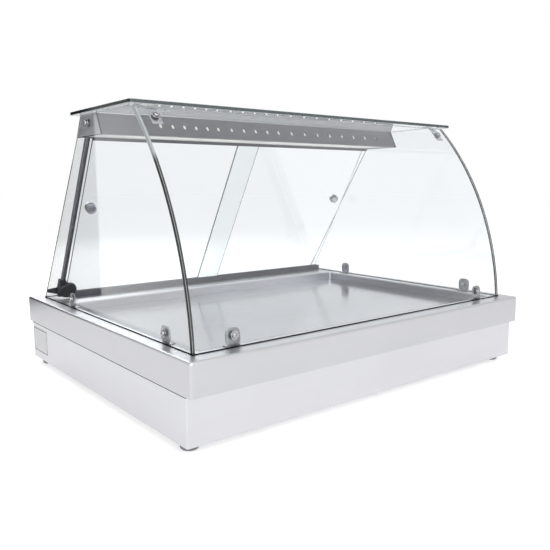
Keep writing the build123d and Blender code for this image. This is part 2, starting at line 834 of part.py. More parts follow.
# End caps of the housing, screwed to the side glasses, with ledges that carry the cover and the lens
for side, name in ((-1, "housing_cap_left"), (1, "housing_cap_right")):
    with BuildPart() as housing_cap:
        with BuildSketch(Plane.YZ.offset(side * side_glass_inner)) as cap_outline:
            with BuildLine():
                Polyline(*cover_corners, close=True)
            make_face()
            with Locations((housing_screw_y, housing_screw_z)):
                Circle(screw_diameter / 2 + screw_clearance, mode=Mode.SUBTRACT)
        extrude(amount=-side * cap_thickness)
        with BuildSketch(Plane.YZ.offset(side * (side_glass_inner - cap_thickness))):
            with Locations((housing_front_top + cap_thickness, housing_top - housing_sheet)):
                Rectangle(cap_ledge, cap_thickness, align=(Align.MIN, Align.MAX))
            with Locations((housing_front_top, housing_low)):
                Rectangle(cap_ledge, housing_sheet, align=(Align.MIN, Align.MIN))
        extrude(amount=-side * (cap_flange + housing_end_gap))
    finish(housing_cap, name)

# Reflector trough, lamps, lamp holders and lens strip inside the housing
reflector_top = housing_top - housing_sheet
reflector_foot = housing_low + housing_sheet + lens_thickness + joint
reflector_half_length = lamp_pitch / 2 + lamp_length / 2 + holder_length
with BuildPart() as lamp_reflector:
    with BuildSketch(Plane.YZ.offset(-reflector_half_length)):
        with BuildLine():
            Polyline(
                (lamp_y - reflector_half_width, reflector_foot),
                (lamp_y - reflector_half_width / 2, reflector_top),
                (lamp_y + reflector_half_width / 2, reflector_top),
                (lamp_y + reflector_half_width, reflector_foot),
                (lamp_y + reflector_half_width - reflector_sheet, reflector_foot),
                (lamp_y + reflector_half_width / 2 - reflector_sheet, reflector_top - reflector_sheet),
                (lamp_y - reflector_half_width / 2 + reflector_sheet, reflector_top - reflector_sheet),
                (lamp_y - reflector_half_width + reflector_sheet, reflector_foot),
                close=True,
            )
        make_face()
    extrude(amount=2 * reflector_half_length)
finish(lamp_reflector, "lamp_reflector")

for side, name in ((-1, "lamp_left"), (1, "lamp_right")):
    with BuildPart() as lamp:
        with BuildSketch(Plane.YZ.offset(side * lamp_pitch / 2 - lamp_length / 2)):
            with Locations((lamp_y, lamp_z)):
                Circle(lamp_diameter / 2)
        extrude(amount=lamp_length)
        fillet(lamp.edges().filter_by(GeomType.CIRCLE), lamp_end_radius)
    finish(lamp, name)

with BuildPart() as lamp_holders:
    for side in (-1, 1):
        for end in (-1, 1):
            face_x = side * lamp_pitch / 2 + end * lamp_length / 2
            with BuildSketch(Plane.YZ.offset(face_x)):
                with Locations((lamp_y, reflector_top - reflector_sheet)):
                    Rectangle(
                        holder_width,
                        reflector_top - reflector_sheet - lamp_z + lamp_diameter / 2,
                        align=(Align.CENTER, Align.MAX),
                    )
            extrude(amount=end * holder_length)
finish(lamp_holders, "lamp_holders")

lens_top = housing_low + housing_sheet + lens_thickness
lens_rear = door_foot - track_half_run - (lens_top - deck_top) * door_slope - lens_rear_gap
lens_front = housing_front_foot + lens_bearing
with BuildPart() as lamp_lens:
    with BuildSketch(Plane.YZ.offset(-cover_half_length)):
        with Locations((lens_front, housing_low + housing_sheet)):
            Rectangle(lens_rear - lens_front, lens_thickness, align=(Align.MIN, Align.MIN))
    extrude(amount=2 * cover_half_length)
finish(lamp_lens, "lamp_lens")

# Door tracks: a channel on the deck and one inside the rear of the housing, with two grooves each
foot_disc_x = conduit_x + foot_disc_offset
track_left = foot_disc_x + foot_disc_diameter / 2 + foot_disc_track_gap
track_right = side_glass_inner - joint
groove = door_glass + 2 * groove_clearance
track_front = door_foot - track_front_reach
track_rear = door_foot + track_half_run


def door_foot_at(row):
    """Distance up the slope to a door's lower edge, so that both doors stand at one height."""
    lean = math.radians(door_lean)
    return (door_rise + row * door_spacing / 2 * math.sin(lean)) / math.cos(lean)


with BuildPart() as bottom_track:
    with BuildSketch(Plane.YZ.offset(track_left)):
        with BuildLine():
            Polyline(
                (track_front, deck_top),
                (track_front, deck_top + track_height),
                (track_rear - track_height * door_slope, deck_top + track_height),
                (track_rear, deck_top),
                close=True,
            )
        make_face()
    extrude(amount=track_right - track_left)
    for row in (-1, 1):
        with BuildSketch(door_plane(row * door_spacing / 2 - groove / 2)):
            with Locations(((track_left + track_right) / 2, door_foot_at(row) - groove_floor_gap)):
                Rectangle(track_right - track_left, 2 * track_height, align=(Align.CENTER, Align.MIN))
        extrude(amount=groove, mode=Mode.SUBTRACT)
finish(bottom_track, "bottom_track")

top_track_right = side_glass_inner - cap_thickness - joint
top_track_middle = (door_left + top_track_right) / 2
top_track_length = top_track_right - door_left
with BuildPart() as top_track:
    with BuildSketch(door_plane(-track_half_thickness)):
        with Locations((top_track_middle, top_track_top)):
            Rectangle(top_track_length, top_track_height, align=(Align.CENTER, Align.MAX))
    extrude(amount=2 * track_half_thickness)
    for row in (-1, 1):
        with BuildSketch(door_plane(row * door_spacing / 2 - groove / 2)):
            with Locations((top_track_middle, top_track_top - top_track_roof)):
                Rectangle(top_track_length, top_track_height, align=(Align.CENTER, Align.MAX))
        extrude(amount=groove, mode=Mode.SUBTRACT)
finish(top_track, "top_track")

# Sliding doors with a finger knob through each; the left door runs in the inner groove
door_rows = {
    "left_door": (
        1,
        door_left,
        door_middle + door_overlap / 2,
        door_left + left_knob_inset,
    ),
    "right_door": (
        -1,
        door_middle - door_overlap / 2,
        side_glass_inner - door_side_gap,
        side_glass_inner - door_side_gap - right_knob_inset,
    ),
}
for name, (row, left, right, knob_at) in door_rows.items():
    face = row * door_spacing / 2
    with BuildPart() as door_pane:
        with BuildSketch(door_plane(face - door_glass / 2)) as pane_outline:
            with Locations((left + joint, door_foot_at(row))):
                Rectangle(right - left - joint, door_top - door_foot_at(row), align=(Align.MIN, Align.MIN))
            with Locations((knob_at, knob_slope_height)):
                Circle(knob_stem / 2 + knob_fit, mode=Mode.SUBTRACT)
        extrude(amount=door_glass)
        chamfer(door_pane.edges().filter_by(Axis.X), glass_arris)
    finish(door_pane, f"{name}_glass")

    with BuildPart() as door_knob:
        for out in (-1, 1):
            height = knob_low_height if out == -row else knob_height
            with BuildSketch(door_plane(face + out * (door_glass / 2 + knob_seat_gap))):
                with Locations((knob_at, knob_slope_height)):
                    Circle(knob_diameter / 2)
            extrude(amount=out * height, taper=knob_draft)
        with BuildSketch(door_plane(face - door_glass)):
            with Locations((knob_at, knob_slope_height)):
                Circle(knob_stem / 2)
        extrude(amount=2 * door_glass)
    finish(door_knob, f"{name}_knob")

# Conduit for the lamp lead, beside the left door, with its moulded foot and tapered boot
conduit_from = door_plane().from_local_coords((conduit_x, conduit_start, 0))
conduit_seat = Plane(origin=conduit_from, x_dir=(1, 0, 0), z_dir=door_plane().y_dir)
with BuildPart() as lamp_conduit:
    with BuildSketch(conduit_seat):
        Circle(conduit_diameter / 2)
        Circle(conduit_bore / 2, mode=Mode.SUBTRACT)
    extrude(amount=conduit_end - conduit_start)
finish(lamp_conduit, "lamp_conduit")

disc_back = door_spacing / 2 + door_glass / 2 + foot_disc_door_gap
with BuildPart() as conduit_foot:
    with BuildSketch(door_plane(disc_back)):
        with Locations((foot_disc_x, foot_disc_rise)):
            Circle(foot_disc_diameter / 2)
    extrude(amount=foot_disc_thickness)
    fillet(conduit_foot.edges().filter_by(GeomType.CIRCLE).sort_by(Axis.Y)[0], foot_disc_edge)
    with BuildSketch(door_plane(-foot_block_depth)):
        with Locations((conduit_x - foot_block_offset, foot_block_low)):
            Rectangle(foot_block_width, foot_block_high - foot_block_low, align=(Align.CENTER, Align.MIN))
    extrude(amount=foot_block_depth + disc_back)
    # Socket for the conduit
    with BuildSketch(conduit_seat):
        Circle(conduit_diameter / 2 + conduit_fit)
    extrude(amount=foot_block_high, mode=Mode.SUBTRACT)
    # The foot stands flat on the deck
    split(bisect_by=Plane.XY.offset(deck_top), keep=Keep.TOP)
finish(conduit_foot, "conduit_foot")

with BuildPart() as cable_boot:
    with BuildSketch(boot_seat):
        with Locations((boot_start_x, boot_start_rise)):
            Circle(boot_start_radius)
    with BuildSketch(Plane(origin=boot_to, z_dir=boot_to - boot_from)):
        Circle(boot_end_radius)
    loft(ruled=True)
finish(cable_boot, "cable_boot")

# Terminal block inside the casing
inner_floor = bottom_plate_z + sheet
terminal_x = gland_x + terminal_offset
terminal_y = casing_rear - terminal_inset
with BuildPart() as terminal_block:
    with BuildSketch(Plane.XY.offset(inner_floor)):
        with Locations((terminal_x, terminal_y)):
            Rectangle(terminal_length, terminal_width)
    extrude(amount=terminal_height)
    with BuildSketch(Plane.XY.offset(inner_floor + terminal_height)):
        with Locations((terminal_x, terminal_y)):
            with GridLocations(terminal_pitch, terminal_row_pitch, 4, 2):
                Circle(terminal_hole_diameter / 2)
    extrude(amount=-terminal_hole_depth, mode=Mode.SUBTRACT)
finish(terminal_block, "terminal_block")

# Lamp lead: from the terminals up through the deck into the boot, and from the foot up to the lamps
holder_end = -reflector_half_length
lead_level = casing_top - lead_drop
lead_routes = (
    (
        boot_to,
        lead_turn,
        Vector(lead_turn.X, lead_turn.Y, lead_level),
        Vector(terminal_x, terminal_y, lead_level),
        Vector(terminal_x, terminal_y, inner_floor + terminal_height),
    ),
    (
        conduit_seat.from_local_coords((0, 0, 0)),
        conduit_seat.from_local_coords((0, 0, conduit_end - conduit_start + lead_turn_radius)),
        Vector(conduit_x, lamp_y, lamp_z + lead_turn_radius),
        Vector(holder_end, lamp_y, lamp_z + lead_turn_radius),
    ),
)
with BuildPart() as lamp_lead:
    for points in lead_routes:
        with BuildLine() as lead_route:
            FilletPolyline(*points, radius=lead_turn_radius)
        with BuildSketch(Plane(origin=lead_route.line @ 0, z_dir=lead_route.line % 0)):
            Circle(lead_diameter / 2)
        sweep()
finish(lamp_lead, "lamp_lead")

# Control panel on the rear wall of the casing
switch_places = {"heat": panel_x + heat_switch_place, "lamp": panel_x + lamp_switch_place}
pilot_places = {"heat": panel_x + heat_pilot_place, "mains": panel_x + mains_pilot_place}
panel_face = casing_rear + panel_thickness
with BuildPart() as control_panel:
    with BuildSketch(Plane.XZ.offset(-casing_rear)):
        with Locations((panel_x, control_height)):
            RectangleRounded(panel_width, panel_height, panel_corner)
        with Locations((knob_x, control_height)):
            Circle(bush_diameter / 2, mode=Mode.SUBTRACT)
        for x in switch_places.values():
            with Locations((x, control_height)):
                Rectangle(switch_width, switch_height, mode=Mode.SUBTRACT)
        for x in pilot_places.values():
            with Locations((x, control_height)):
                Circle(pilot_diameter / 2 + screw_clearance, mode=Mode.SUBTRACT)
    extrude(amount=-panel_thickness)
finish(control_panel, "control_panel")

with BuildPart() as panel_screws:
    with BuildSketch(Plane.XZ.offset(-panel_face)):
        with Locations((panel_x, control_height)):
            with GridLocations(
                panel_width - 2 * panel_screw_inset, panel_height - 2 * panel_screw_inset, 2, 2
            ):
                Circle(panel_screw_diameter / 2)
    extrude(amount=-panel_screw_height)
finish(panel_screws, "panel_screws")

# Thermostat: body behind the panel, spindle and knob that turn
with BuildPart() as thermostat_body:
    with BuildSketch(Plane.XZ.offset(-casing_rear)):
        with Locations((knob_x, control_height)):
            RectangleRounded(thermostat_size, thermostat_size, panel_corner)
    extrude(amount=thermostat_depth)
    with BuildSketch(Plane.XZ.offset(-casing_rear)):
        with Locations((knob_x, control_height)):
            Circle(bush_diameter / 2 - screw_clearance)
    extrude(amount=-panel_thickness)
    with BuildSketch(Plane.XZ.offset(-panel_face)):
        with Locations((knob_x, control_height)):
            Circle(spindle_diameter / 2 + spindle_fit)
    extrude(amount=spindle_in_body, mode=Mode.SUBTRACT)
finish(thermostat_body, "thermostat_body")

dial_face = panel_face + dial_gap
with BuildPart() as thermostat_spindle:
    with BuildSketch(Plane.XZ.offset(-dial_face - spindle_in_dial)):
        with Locations((knob_x, control_height)):
            Circle(spindle_diameter / 2)
    extrude(amount=spindle_in_dial + dial_gap + spindle_in_body - joint)
finish(thermostat_spindle, "thermostat_spindle")

with BuildPart() as thermostat_knob:
    with BuildSketch(Plane.XZ.offset(-dial_face)):
        with Locations((knob_x, control_height)):
            Circle(dial_diameter / 2)
    extrude(amount=-dial_skirt, taper=dial_draft)
    with BuildSketch(Plane.XZ.offset(-dial_face - dial_skirt)):
        with Locations((knob_x, control_height)):
            RectangleRounded(dial_grip_width, dial_diameter - 2 * dial_skirt, dial_grip_corner)
    extrude(amount=-(dial_height - dial_skirt))
    with BuildSketch(Plane.XZ.offset(-dial_face)):
        with Locations((knob_x, control_height)):
            Circle(spindle_diameter / 2 + spindle_fit)
    extrude(amount=-spindle_in_dial - joint, mode=Mode.SUBTRACT)
finish(thermostat_knob, "thermostat_knob")

with BuildPart() as thermostat_bulb:
    with BuildSketch(Plane.YZ.offset(-bulb_length / 2)):
        with Locations((well_rear - bulb_inset, well_underside - bulb_diameter / 2)):
            Circle(bulb_diameter / 2)
    extrude(amount=bulb_length)
finish(thermostat_bulb, "thermostat_bulb")

# Rocker switches: a body with a bezel in the panel and a rocker on a pin, resting in its off position
for name, x in switch_places.items():
    pivot_y = panel_face + switch_flange - rocker_pivot_inset
    with BuildPart() as switch_body:
        with BuildSketch(Plane.XZ.offset(-panel_face)):
            with Locations((x, control_height)):
                Rectangle(switch_width + 2 * switch_rim, switch_height + 2 * switch_rim)
        extrude(amount=-switch_flange)
        fillet(switch_body.edges().filter_by(Axis.Y), switch_rim)
        with BuildSketch(Plane.XZ.offset(-panel_face)):
            with Locations((x, control_height)):
                Rectangle(switch_width - screw_clearance, switch_height - screw_clearance)
        extrude(amount=switch_depth)
        with BuildSketch(Plane.XZ.offset(-panel_face - switch_flange)):
            with Locations((x, control_height)):
                Rectangle(switch_width - 2 * switch_rim, switch_height - 2 * switch_rim)
        extrude(amount=switch_depth - switch_rim, mode=Mode.SUBTRACT)
        with BuildSketch(Plane.YZ.offset(x - switch_width / 2 + switch_rim / 2)):
            with Locations((pivot_y, control_height)):
                Circle(rocker_pin / 2)
        extrude(amount=switch_width - switch_rim)
    finish(switch_body, f"{name}_switch_body")

    half_height = switch_height / 2 - switch_rim - rocker_end_gap
    rocker_middle = rocker_pivot_inset + rocker_proud
    rocker_end = rocker_middle + half_height * math.tan(math.radians(rocker_tilt))
    with BuildPart() as rocker:
        with BuildSketch(Plane.YZ.offset(x - switch_width / 2 + switch_rim + rocker_gap)):
            with Locations((pivot_y, control_height)):
                Polygon(
                    (-rocker_back, -half_height),
                    (rocker_end, -half_height),
                    (rocker_middle, 0),
                    (rocker_end, half_height),
                    (-rocker_back, half_height),
                    align=None,
                )
                Circle(rocker_pin / 2 + rocker_pin_gap, mode=Mode.SUBTRACT)
        extrude(amount=switch_width - 2 * (switch_rim + rocker_gap))
    tilted = rocker.part.rotate(Axis((x, pivot_y, control_height), (1, 0, 0)), rocker_tilt)
    with BuildPart() as rocker_at_rest:
        add(tilted)
    finish(rocker_at_rest, f"{name}_switch_rocker")

# Pilot lamps: round lenses pushed through the panel
with BuildPart() as pilot_lamps:
    with BuildSketch(Plane.XZ.offset(-panel_face)):
        with Locations(*[(x, control_height) for x in pilot_places.values()]):
            Circle(pilot_flange / 2)
    extrude(amount=-pilot_proud, taper=pilot_draft)
    with BuildSketch(Plane.XZ.offset(-panel_face)):
        with Locations(*[(x, control_height) for x in pilot_places.values()]):
            Circle(pilot_diameter / 2)
    extrude(amount=pilot_depth)
finish(pilot_lamps, "pilot_lamps")

# Mains inlet gland with its locknut, open for a lead
with BuildPart() as mains_gland:
    with BuildSketch(Plane.XZ.offset(-casing_rear)):
        with Locations((gland_x, gland_height)):
            RegularPolygon(gland_hex / 2, 6, major_radius=False)
    extrude(amount=-gland_hex_length)
    with BuildSketch(Plane.XZ.offset(-casing_rear)):
        with Locations((gland_x, gland_height)):
            Circle(gland_dome / 2)
    extrude(amount=-gland_length, taper=gland_draft)
    with BuildSketch(Plane.XZ.offset(-casing_rear)):
        with Locations((gland_x, gland_height)):
            Circle(gland_thread / 2)
    extrude(amount=gland_tail)
    with BuildSketch(Plane.XZ.offset(-casing_rear - gland_length)):
        with Locations((gland_x, gland_height)):
            Circle(gland_bore / 2)
    extrude(amount=2 * gland_length, mode=Mode.SUBTRACT)
finish(mains_gland, "mains_gland")

with BuildPart() as gland_locknut:
    with BuildSketch(Plane.XZ.offset(-casing_rear + sheet)):
        with Locations((gland_x, gland_height)):
            RegularPolygon(gland_hex / 2, 6, major_radius=False)
            Circle(gland_thread / 2, mode=Mode.SUBTRACT)
    extrude(amount=3 * sheet)
finish(gland_locknut, "gland_locknut")

# Thermal cut-out clamped under the heat shield tray
with BuildPart() as thermal_cutout:
    with BuildSketch(Plane.XY.offset(tray_floor - sheet)):
        with Locations((0, well_rear - cutout_inset)):
            Circle(cutout_diameter / 2)
    extrude(amount=-cutout_height)
    with BuildSketch(Plane.XY.offset(tray_floor - sheet)):
        with Locations((0, well_rear - cutout_inset)):
            Rectangle(cutout_flange_length, cutout_flange_width)
    extrude(amount=-sheet)
finish(thermal_cutout, "thermal_cutout")

# Bare rating plate on the left wall
with BuildPart() as rating_plate:
    with BuildSketch(Plane.YZ.offset(-casing_half_width)):
        with Locations((casing_rear - rating_rear_inset, casing_bottom + rating_bottom_gap)):
            with Locations((0, rating_height / 2)):
                RectangleRounded(rating_length, rating_height, rating_corner)
    extrude(amount=-rating_thickness)
finish(rating_plate, "rating_plate")
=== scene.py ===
"""Looks of a heated counter display case: finishes, detailed pieces, studio and camera."""
import logging
import math
from collections.abc import Callable
from dataclasses import dataclass, field
from enum import Enum

import bpy
from bpy.types import Material, Node, NodeSocket, NodeTree, Object, World
from mathutils import Matrix, Vector


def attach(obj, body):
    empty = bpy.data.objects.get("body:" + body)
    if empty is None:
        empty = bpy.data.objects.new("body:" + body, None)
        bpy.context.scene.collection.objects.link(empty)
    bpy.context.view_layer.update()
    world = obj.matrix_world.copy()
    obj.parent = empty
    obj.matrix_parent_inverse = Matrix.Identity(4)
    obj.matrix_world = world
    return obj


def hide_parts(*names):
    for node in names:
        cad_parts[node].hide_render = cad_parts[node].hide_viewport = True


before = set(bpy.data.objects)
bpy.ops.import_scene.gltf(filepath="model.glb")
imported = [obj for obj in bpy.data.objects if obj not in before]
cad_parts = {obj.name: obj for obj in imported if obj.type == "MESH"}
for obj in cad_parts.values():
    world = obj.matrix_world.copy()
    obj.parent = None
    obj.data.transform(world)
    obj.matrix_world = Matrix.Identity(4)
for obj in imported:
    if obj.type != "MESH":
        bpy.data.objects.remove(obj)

logging.basicConfig(level=logging.INFO, format="%(message)s")
log = logging.getLogger("display_case")
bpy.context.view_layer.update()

# Lengths are in metres, but for those whose names end in mm
MM = 0.001
SAME_LEVEL = 1e-6
SAME_POINT = 1e-5
SAME_WAY = 0.9
DECK = 0.140
UP = Vector((0, 0, 1))
# Numbers of the Mix node's inputs A and B and its output, for colours and for vectors
COLOUR_A, COLOUR_B, COLOUR_OUT = 6, 7, 2
VECTOR_A, VECTOR_B, VECTOR_OUT = 4, 5, 1


def linear(code: str) -> tuple[float, float, float, float]:
    """Turn an sRGB hex code into a linear colour.

    Args:
        code: Six hex digits, such as "c8c9cb".

    Returns:
        Red, green, blue and alpha.
    """
    parts = [int(code[i:i + 2], 16) / 255 for i in (0, 2, 4)]
    red, green, blue = (c / 12.92 if c <= 0.04045 else ((c + 0.055) / 1.055) ** 2.4 for c in parts)
    return red, green, blue, 1.0


def set_up(tree: NodeTree, node: Node, values: dict[str | int, object]) -> None:
    """Set a node's attributes and inputs.

    Args:
        tree: Its node tree.
        node: The node.
        values: Settings by attribute name, and numbers, sockets and nodes by input name or number. A node
            stands for its first output.
    """
    for key, value in values.items():
        if isinstance(value, Node):
            value = value.outputs[0]
        if isinstance(value, NodeSocket):
            tree.links.new(value, node.inputs[key])
        elif isinstance(key, str) and hasattr(node, key):
            setattr(node, key, value)
        else:
            node.inputs[key].default_value = value


def add_node(tree: NodeTree, kind: str, values: dict[str | int, object] | None = None) -> Node:
    """Add a node and set it up.

    Args:
        tree: The node tree that it goes in.
        kind: Blender's name for the node's type, less "ShaderNode".
        values: What set_up is to give it.

    Returns:
        The new node.
    """
    node = tree.nodes.new(f"ShaderNode{kind}")
    set_up(tree, node, values or {})
    return node


def maths(tree: NodeTree, operation: str, *values: object) -> Node:
    """Add a Math node with its values: numbers, sockets or nodes."""
    return add_node(tree, "Math", {"operation": operation, **dict(enumerate(values))})


def mixed_colour(tree: NodeTree, first: object, second: object, share: object) -> NodeSocket:
    """Mix two colours, each a socket or a linear colour, by the second's share."""
    mix = add_node(tree, "Mix", {"data_type": "RGBA", "Factor": share, COLOUR_A: first, COLOUR_B: second})
    return mix.outputs[COLOUR_OUT]


def object_place(tree: NodeTree) -> NodeSocket:
    """Add the coordinates of the object's own space."""
    return add_node(tree, "TexCoord").outputs["Object"]


def axes(tree: NodeTree, vector: NodeSocket) -> Node:
    """Split a vector into X, Y and Z."""
    return add_node(tree, "SeparateXYZ", {"Vector": vector})


def sideways(tree: NodeTree) -> Node:
    """Tell how far a face looks to the left or right, from 0 to 1."""
    normal = axes(tree, add_node(tree, "NewGeometry").outputs["True Normal"])
    return maths(tree, "ABSOLUTE", normal.outputs["X"])


def empty_tree(owner: Material | World) -> NodeTree:
    """Turn on the nodes of a material or a world and remove them all.

    Args:
        owner: The material or the world.

    Returns:
        Its empty tree.
    """
    owner.use_nodes = True
    owner.node_tree.nodes.clear()
    return owner.node_tree


class Grain(Enum):
    """Direction in which a metal was brushed."""

    ALONG = "along the length"
    FOLDED = "along each side of a folded sheet"


@dataclass(frozen=True)
class Finish:
    """A surface with a faint change of tone, of gloss and of height over it."""

    name: str
    colour: str
    second: str
    roughness: float
    metallic: float = 0.0
    spot_mm: float = 40.0
    spread: float = 0.08
    relief_mm: float = 0.0
    relief_pitch_mm: float = 2.0
    coat: float = 0.0
    glow: float = 0.0
    specular: float = 0.5

    def tree(self) -> tuple[Material, NodeTree, Node]:
        """Make an empty material with its principled shader.

        Returns:
            The material, its tree and its shader.
        """
        material = bpy.data.materials.new(self.name)
        tree = empty_tree(material)
        shader = add_node(tree, "BsdfPrincipled", {
            "Metallic": self.metallic, "Roughness": self.roughness, "Coat Weight": self.coat,
            "Emission Strength": self.glow, "Emission Color": linear(self.colour),
            "Specular IOR Level": self.specular,
        })
        add_node(tree, "OutputMaterial", {"Surface": shader})
        return material, tree, shader

    def pattern(self, tree: NodeTree) -> Node:
        """Make the slow change of tone over the surface.

        Args:
            tree: The material's tree.

        Returns:
            The node that gives the tone, from 0 to 1.
        """
        return add_node(tree, "TexNoise", {
            "Vector": object_place(tree), "Scale": 1000 / self.spot_mm, "Detail": 4.0, "Roughness": 0.6,
        })

    def dress(self, tree: NodeTree, shader: Node) -> None:
        """Link the tone, gloss and relief to the shader.

        Args:
            tree: The material's tree.
            shader: Its principled shader.
        """
        tone = self.pattern(tree)
        gloss = add_node(tree, "MapRange", {
            "Value": tone, "To Min": max(0.02, self.roughness - self.spread),
            "To Max": self.roughness + self.spread,
        })
        colour = mixed_colour(tree, linear(self.colour), linear(self.second), tone)
        set_up(tree, shader, {"Base Color": colour, "Roughness": gloss})
        if self.relief_mm:
            fine = add_node(tree, "TexNoise", {
                "Vector": object_place(tree), "Scale": 1000 / self.relief_pitch_mm, "Detail": 3.0,
            })
            bump = add_node(tree, "Bump", {
                "Strength": 0.5, "Distance": self.relief_mm * MM, "Height": fine,
            })
            set_up(tree, shader, {"Normal": bump})

    def material(self) -> Material:
        """Make the material, or give it again if it was made before.

        Returns:
            The material.
        """
        if self.name in bpy.data.materials:
            return bpy.data.materials[self.name]
        material, tree, shader = self.tree()
        self.dress(tree, shader)
        return material


@dataclass(frozen=True)
class BrushedFinish(Finish):
    """A metal brushed with a belt: fine straight lines, drawn coarser than real so that they show."""

    grain: Grain = Grain.ALONG
    line_mm: float = 1.6
    line_length_mm: float = 160.0
    line_share: float = 0.35

    def pattern(self, tree: NodeTree) -> Node:
        """Make the slow change of tone with the brush lines over it.

        Args:
            tree: The material's tree.

        Returns:
            The node that gives the tone, from 0 to 1.
        """
        slow, place = super().pattern(tree), object_place(tree)
        fine, coarse = 1000 / self.line_mm, 1000 / self.line_length_mm
        vector = add_node(tree, "Mapping", {"Vector": place, "Scale": (coarse, fine, fine)})
        if self.grain is Grain.FOLDED:
            across = add_node(tree, "Mapping", {"Vector": place, "Scale": (fine, coarse, fine)})
            is_side = maths(tree, "GREATER_THAN", sideways(tree), 0.5)
            vector = add_node(tree, "Mix", {
                "data_type": "VECTOR", "Factor": is_side, VECTOR_A: vector, VECTOR_B: across,
            }).outputs[VECTOR_OUT]
        lines = add_node(tree, "TexNoise", {
            "Vector": vector, "Scale": 1.0, "Detail": 3.0, "Roughness": 0.7,
        })
        return add_node(tree, "Mix", {"Factor": self.line_share, "A": slow, "B": lines})


@dataclass(frozen=True)
class WellFinish(BrushedFinish):
    """Brushed steel with painted shade on the walls of a heated well: darker, most at its sides and its
    left rear.
    """

    level_mm: float = 138.6
    fade_mm: float = 4.0
    left_mm: float = -330.0
    left_share: float = 0.8
    middle_mm: float = -54.0
    half_depth_mm: float = 258.0
    half_width_mm: float = 370.0
    # Colour of the painted shade on the well's walls
    haze: str = "85858b"

    def dress(self, tree: NodeTree, shader: Node) -> None:
        """Link the tone, gloss and relief to the shader, with the painted shade darker below the level.

        Args:
            tree: The material's tree.
            shader: Its principled shader.
        """
        super().dress(tree, shader)
        place = axes(tree, object_place(tree))
        # Painted shade: darker below the deck's level, inside the well, on the side walls and towards the
        # left
        below = add_node(tree, "MapRange", {
            "Value": place.outputs["Z"], "From Min": self.level_mm * MM,
            "From Max": (self.level_mm - self.fade_mm) * MM,
        })
        left = add_node(tree, "MapRange", {
            "Value": place.outputs["X"], "From Max": self.left_mm * MM, "To Max": self.left_share,
        })
        depth = maths(tree, "COMPARE", place.outputs["Y"], self.middle_mm * MM, self.half_depth_mm * MM)
        width = maths(tree, "COMPARE", place.outputs["X"], 0.0, self.half_width_mm * MM)
        share = maths(tree, "MAXIMUM", sideways(tree), left)
        for other in (below, depth, width):
            share = maths(tree, "MULTIPLY", share, other)
        clean = shader.inputs["Base Color"].links[0].from_socket
        set_up(tree, shader, {"Base Color": mixed_colour(tree, clean, linear(self.haze), share)})


@dataclass(frozen=True)
class GlassFinish(Finish):
    """Clear glass that lets the lamps' light through, so that it throws hardly any shadow."""

    weight: float = 1.0
    shadow: str = "f2f6f6"
    pale_above_mm: float = 0.0
    pale_run_mm: float = 12.0
    ior: float = 1.5

    def material(self) -> Material:
        """Make the material, or give it again if it was made before.

        Returns:
            The material.
        """
        if self.name in bpy.data.materials:
            return bpy.data.materials[self.name]
        material, tree, shader = self.tree()
        set_up(tree, shader, {
            "Base Color": linear(self.colour), "IOR": self.ior, "Transmission Weight": self.weight,
        })
        if self.pale_above_mm:
            pale = add_node(tree, "MapRange", {
                "Value": axes(tree, object_place(tree)).outputs["Z"], "From Min": self.pale_above_mm * MM,
                "From Max": (self.pale_above_mm + self.pale_run_mm) * MM,
            })
            tone = mixed_colour(tree, linear(self.colour), linear(self.second), pale)
            set_up(tree, shader, {"Base Color": tone})
        for_shadow = add_node(tree, "LightPath").outputs["Is Shadow Ray"]
        clear = add_node(tree, "BsdfTransparent", {"Color": linear(self.shadow)})
        mixed = add_node(tree, "MixShader", {0: for_shadow, 1: shader, 2: clear})
        output = next(n for n in tree.nodes if n.type == "OUTPUT_MATERIAL")
        set_up(tree, output, {"Surface": mixed})
        return material


# Stainless steel sheet, belt-brushed: a pale grey with faint straight lines and soft, drawn-out highlights
SHEET_STEEL = BrushedFinish(
    "brushed_stainless_sheet", "ececef", "dedee2", 0.34, 1.0, 220, 0.05, grain=Grain.FOLDED,
)
# The same sheet pressed into the deck, heated from below: its well's walls carry painted shade, a darker
# grey
DECK_STEEL = WellFinish(
    "brushed_stainless_deck", "dedee1", "d0d0d4", 0.32, 1.0, 220, 0.05, grain=Grain.FOLDED,
)
# Stainless steel, ground with a coarser belt for the lamp housing: duller, and a darker grey that paints in
# the reflection of a dark room
SHADED_HOUSING_STEEL = BrushedFinish("housing_stainless_painted_reflection", "747478", "606065", 0.38, 1.0, 90, 0.06)
# Brushed stainless of the housing's end caps and the control panel: a brighter grey than the cover
CAP_STEEL = BrushedFinish("brushed_stainless_caps", "b8b8bc", "a8a8ad", 0.36, 1.0, 60, 0.06)
# Rolled stainless plate, polished and wiped for years: mirrors softly, with faint hairlines
HOT_PLATE_STEEL = BrushedFinish(
    "polished_stainless_plate", "c4c4c8", "b2b2b7", 0.15, 1.0, 120, 0.06, line_mm=2.4, line_share=0.5,
)
# Small stamped and turned stainless parts, tumbled bright: small sharp glints
BRIGHT_STEEL = Finish("polished_stainless_fittings", "c2c2c5", "a9a9ad", 0.16, 1.0, 6, 0.06)
# Drawn stainless tube, polished: darker than the sheet, with one long soft streak of light
TUBE_STEEL = Finish("polished_stainless_tube", "78787c", "68686d", 0.2, 1.0, 12, 0.06)
# Nickel-alloy sheath of the heating elements: matt, stained a warm dark grey by the heat
ELEMENT_SHEATH = Finish("nickel_alloy_sheath", "6b6864", "55524f", 0.45, 1.0, 20, 0.1)
# Zinc-coated sheet: a dull blue-grey with pale crystal spangle
GALVANISED = Finish("galvanised_sheet", "a6aaae", "8e9398", 0.48, 1.0, 9, 0.12)
# Extruded aluminium, natural anodised: an even satin grey
ANODISED = BrushedFinish("anodised_aluminium_track", "66676b", "56575c", 0.4, 1.0, 50, 0.06)
# Pressed stainless tabs, vibratory-ground: a darker satin than the screws
TAB_STEEL = Finish("ground_stainless_tabs", "9c9ca0", "88888c", 0.3, 1.0, 8, 0.06)
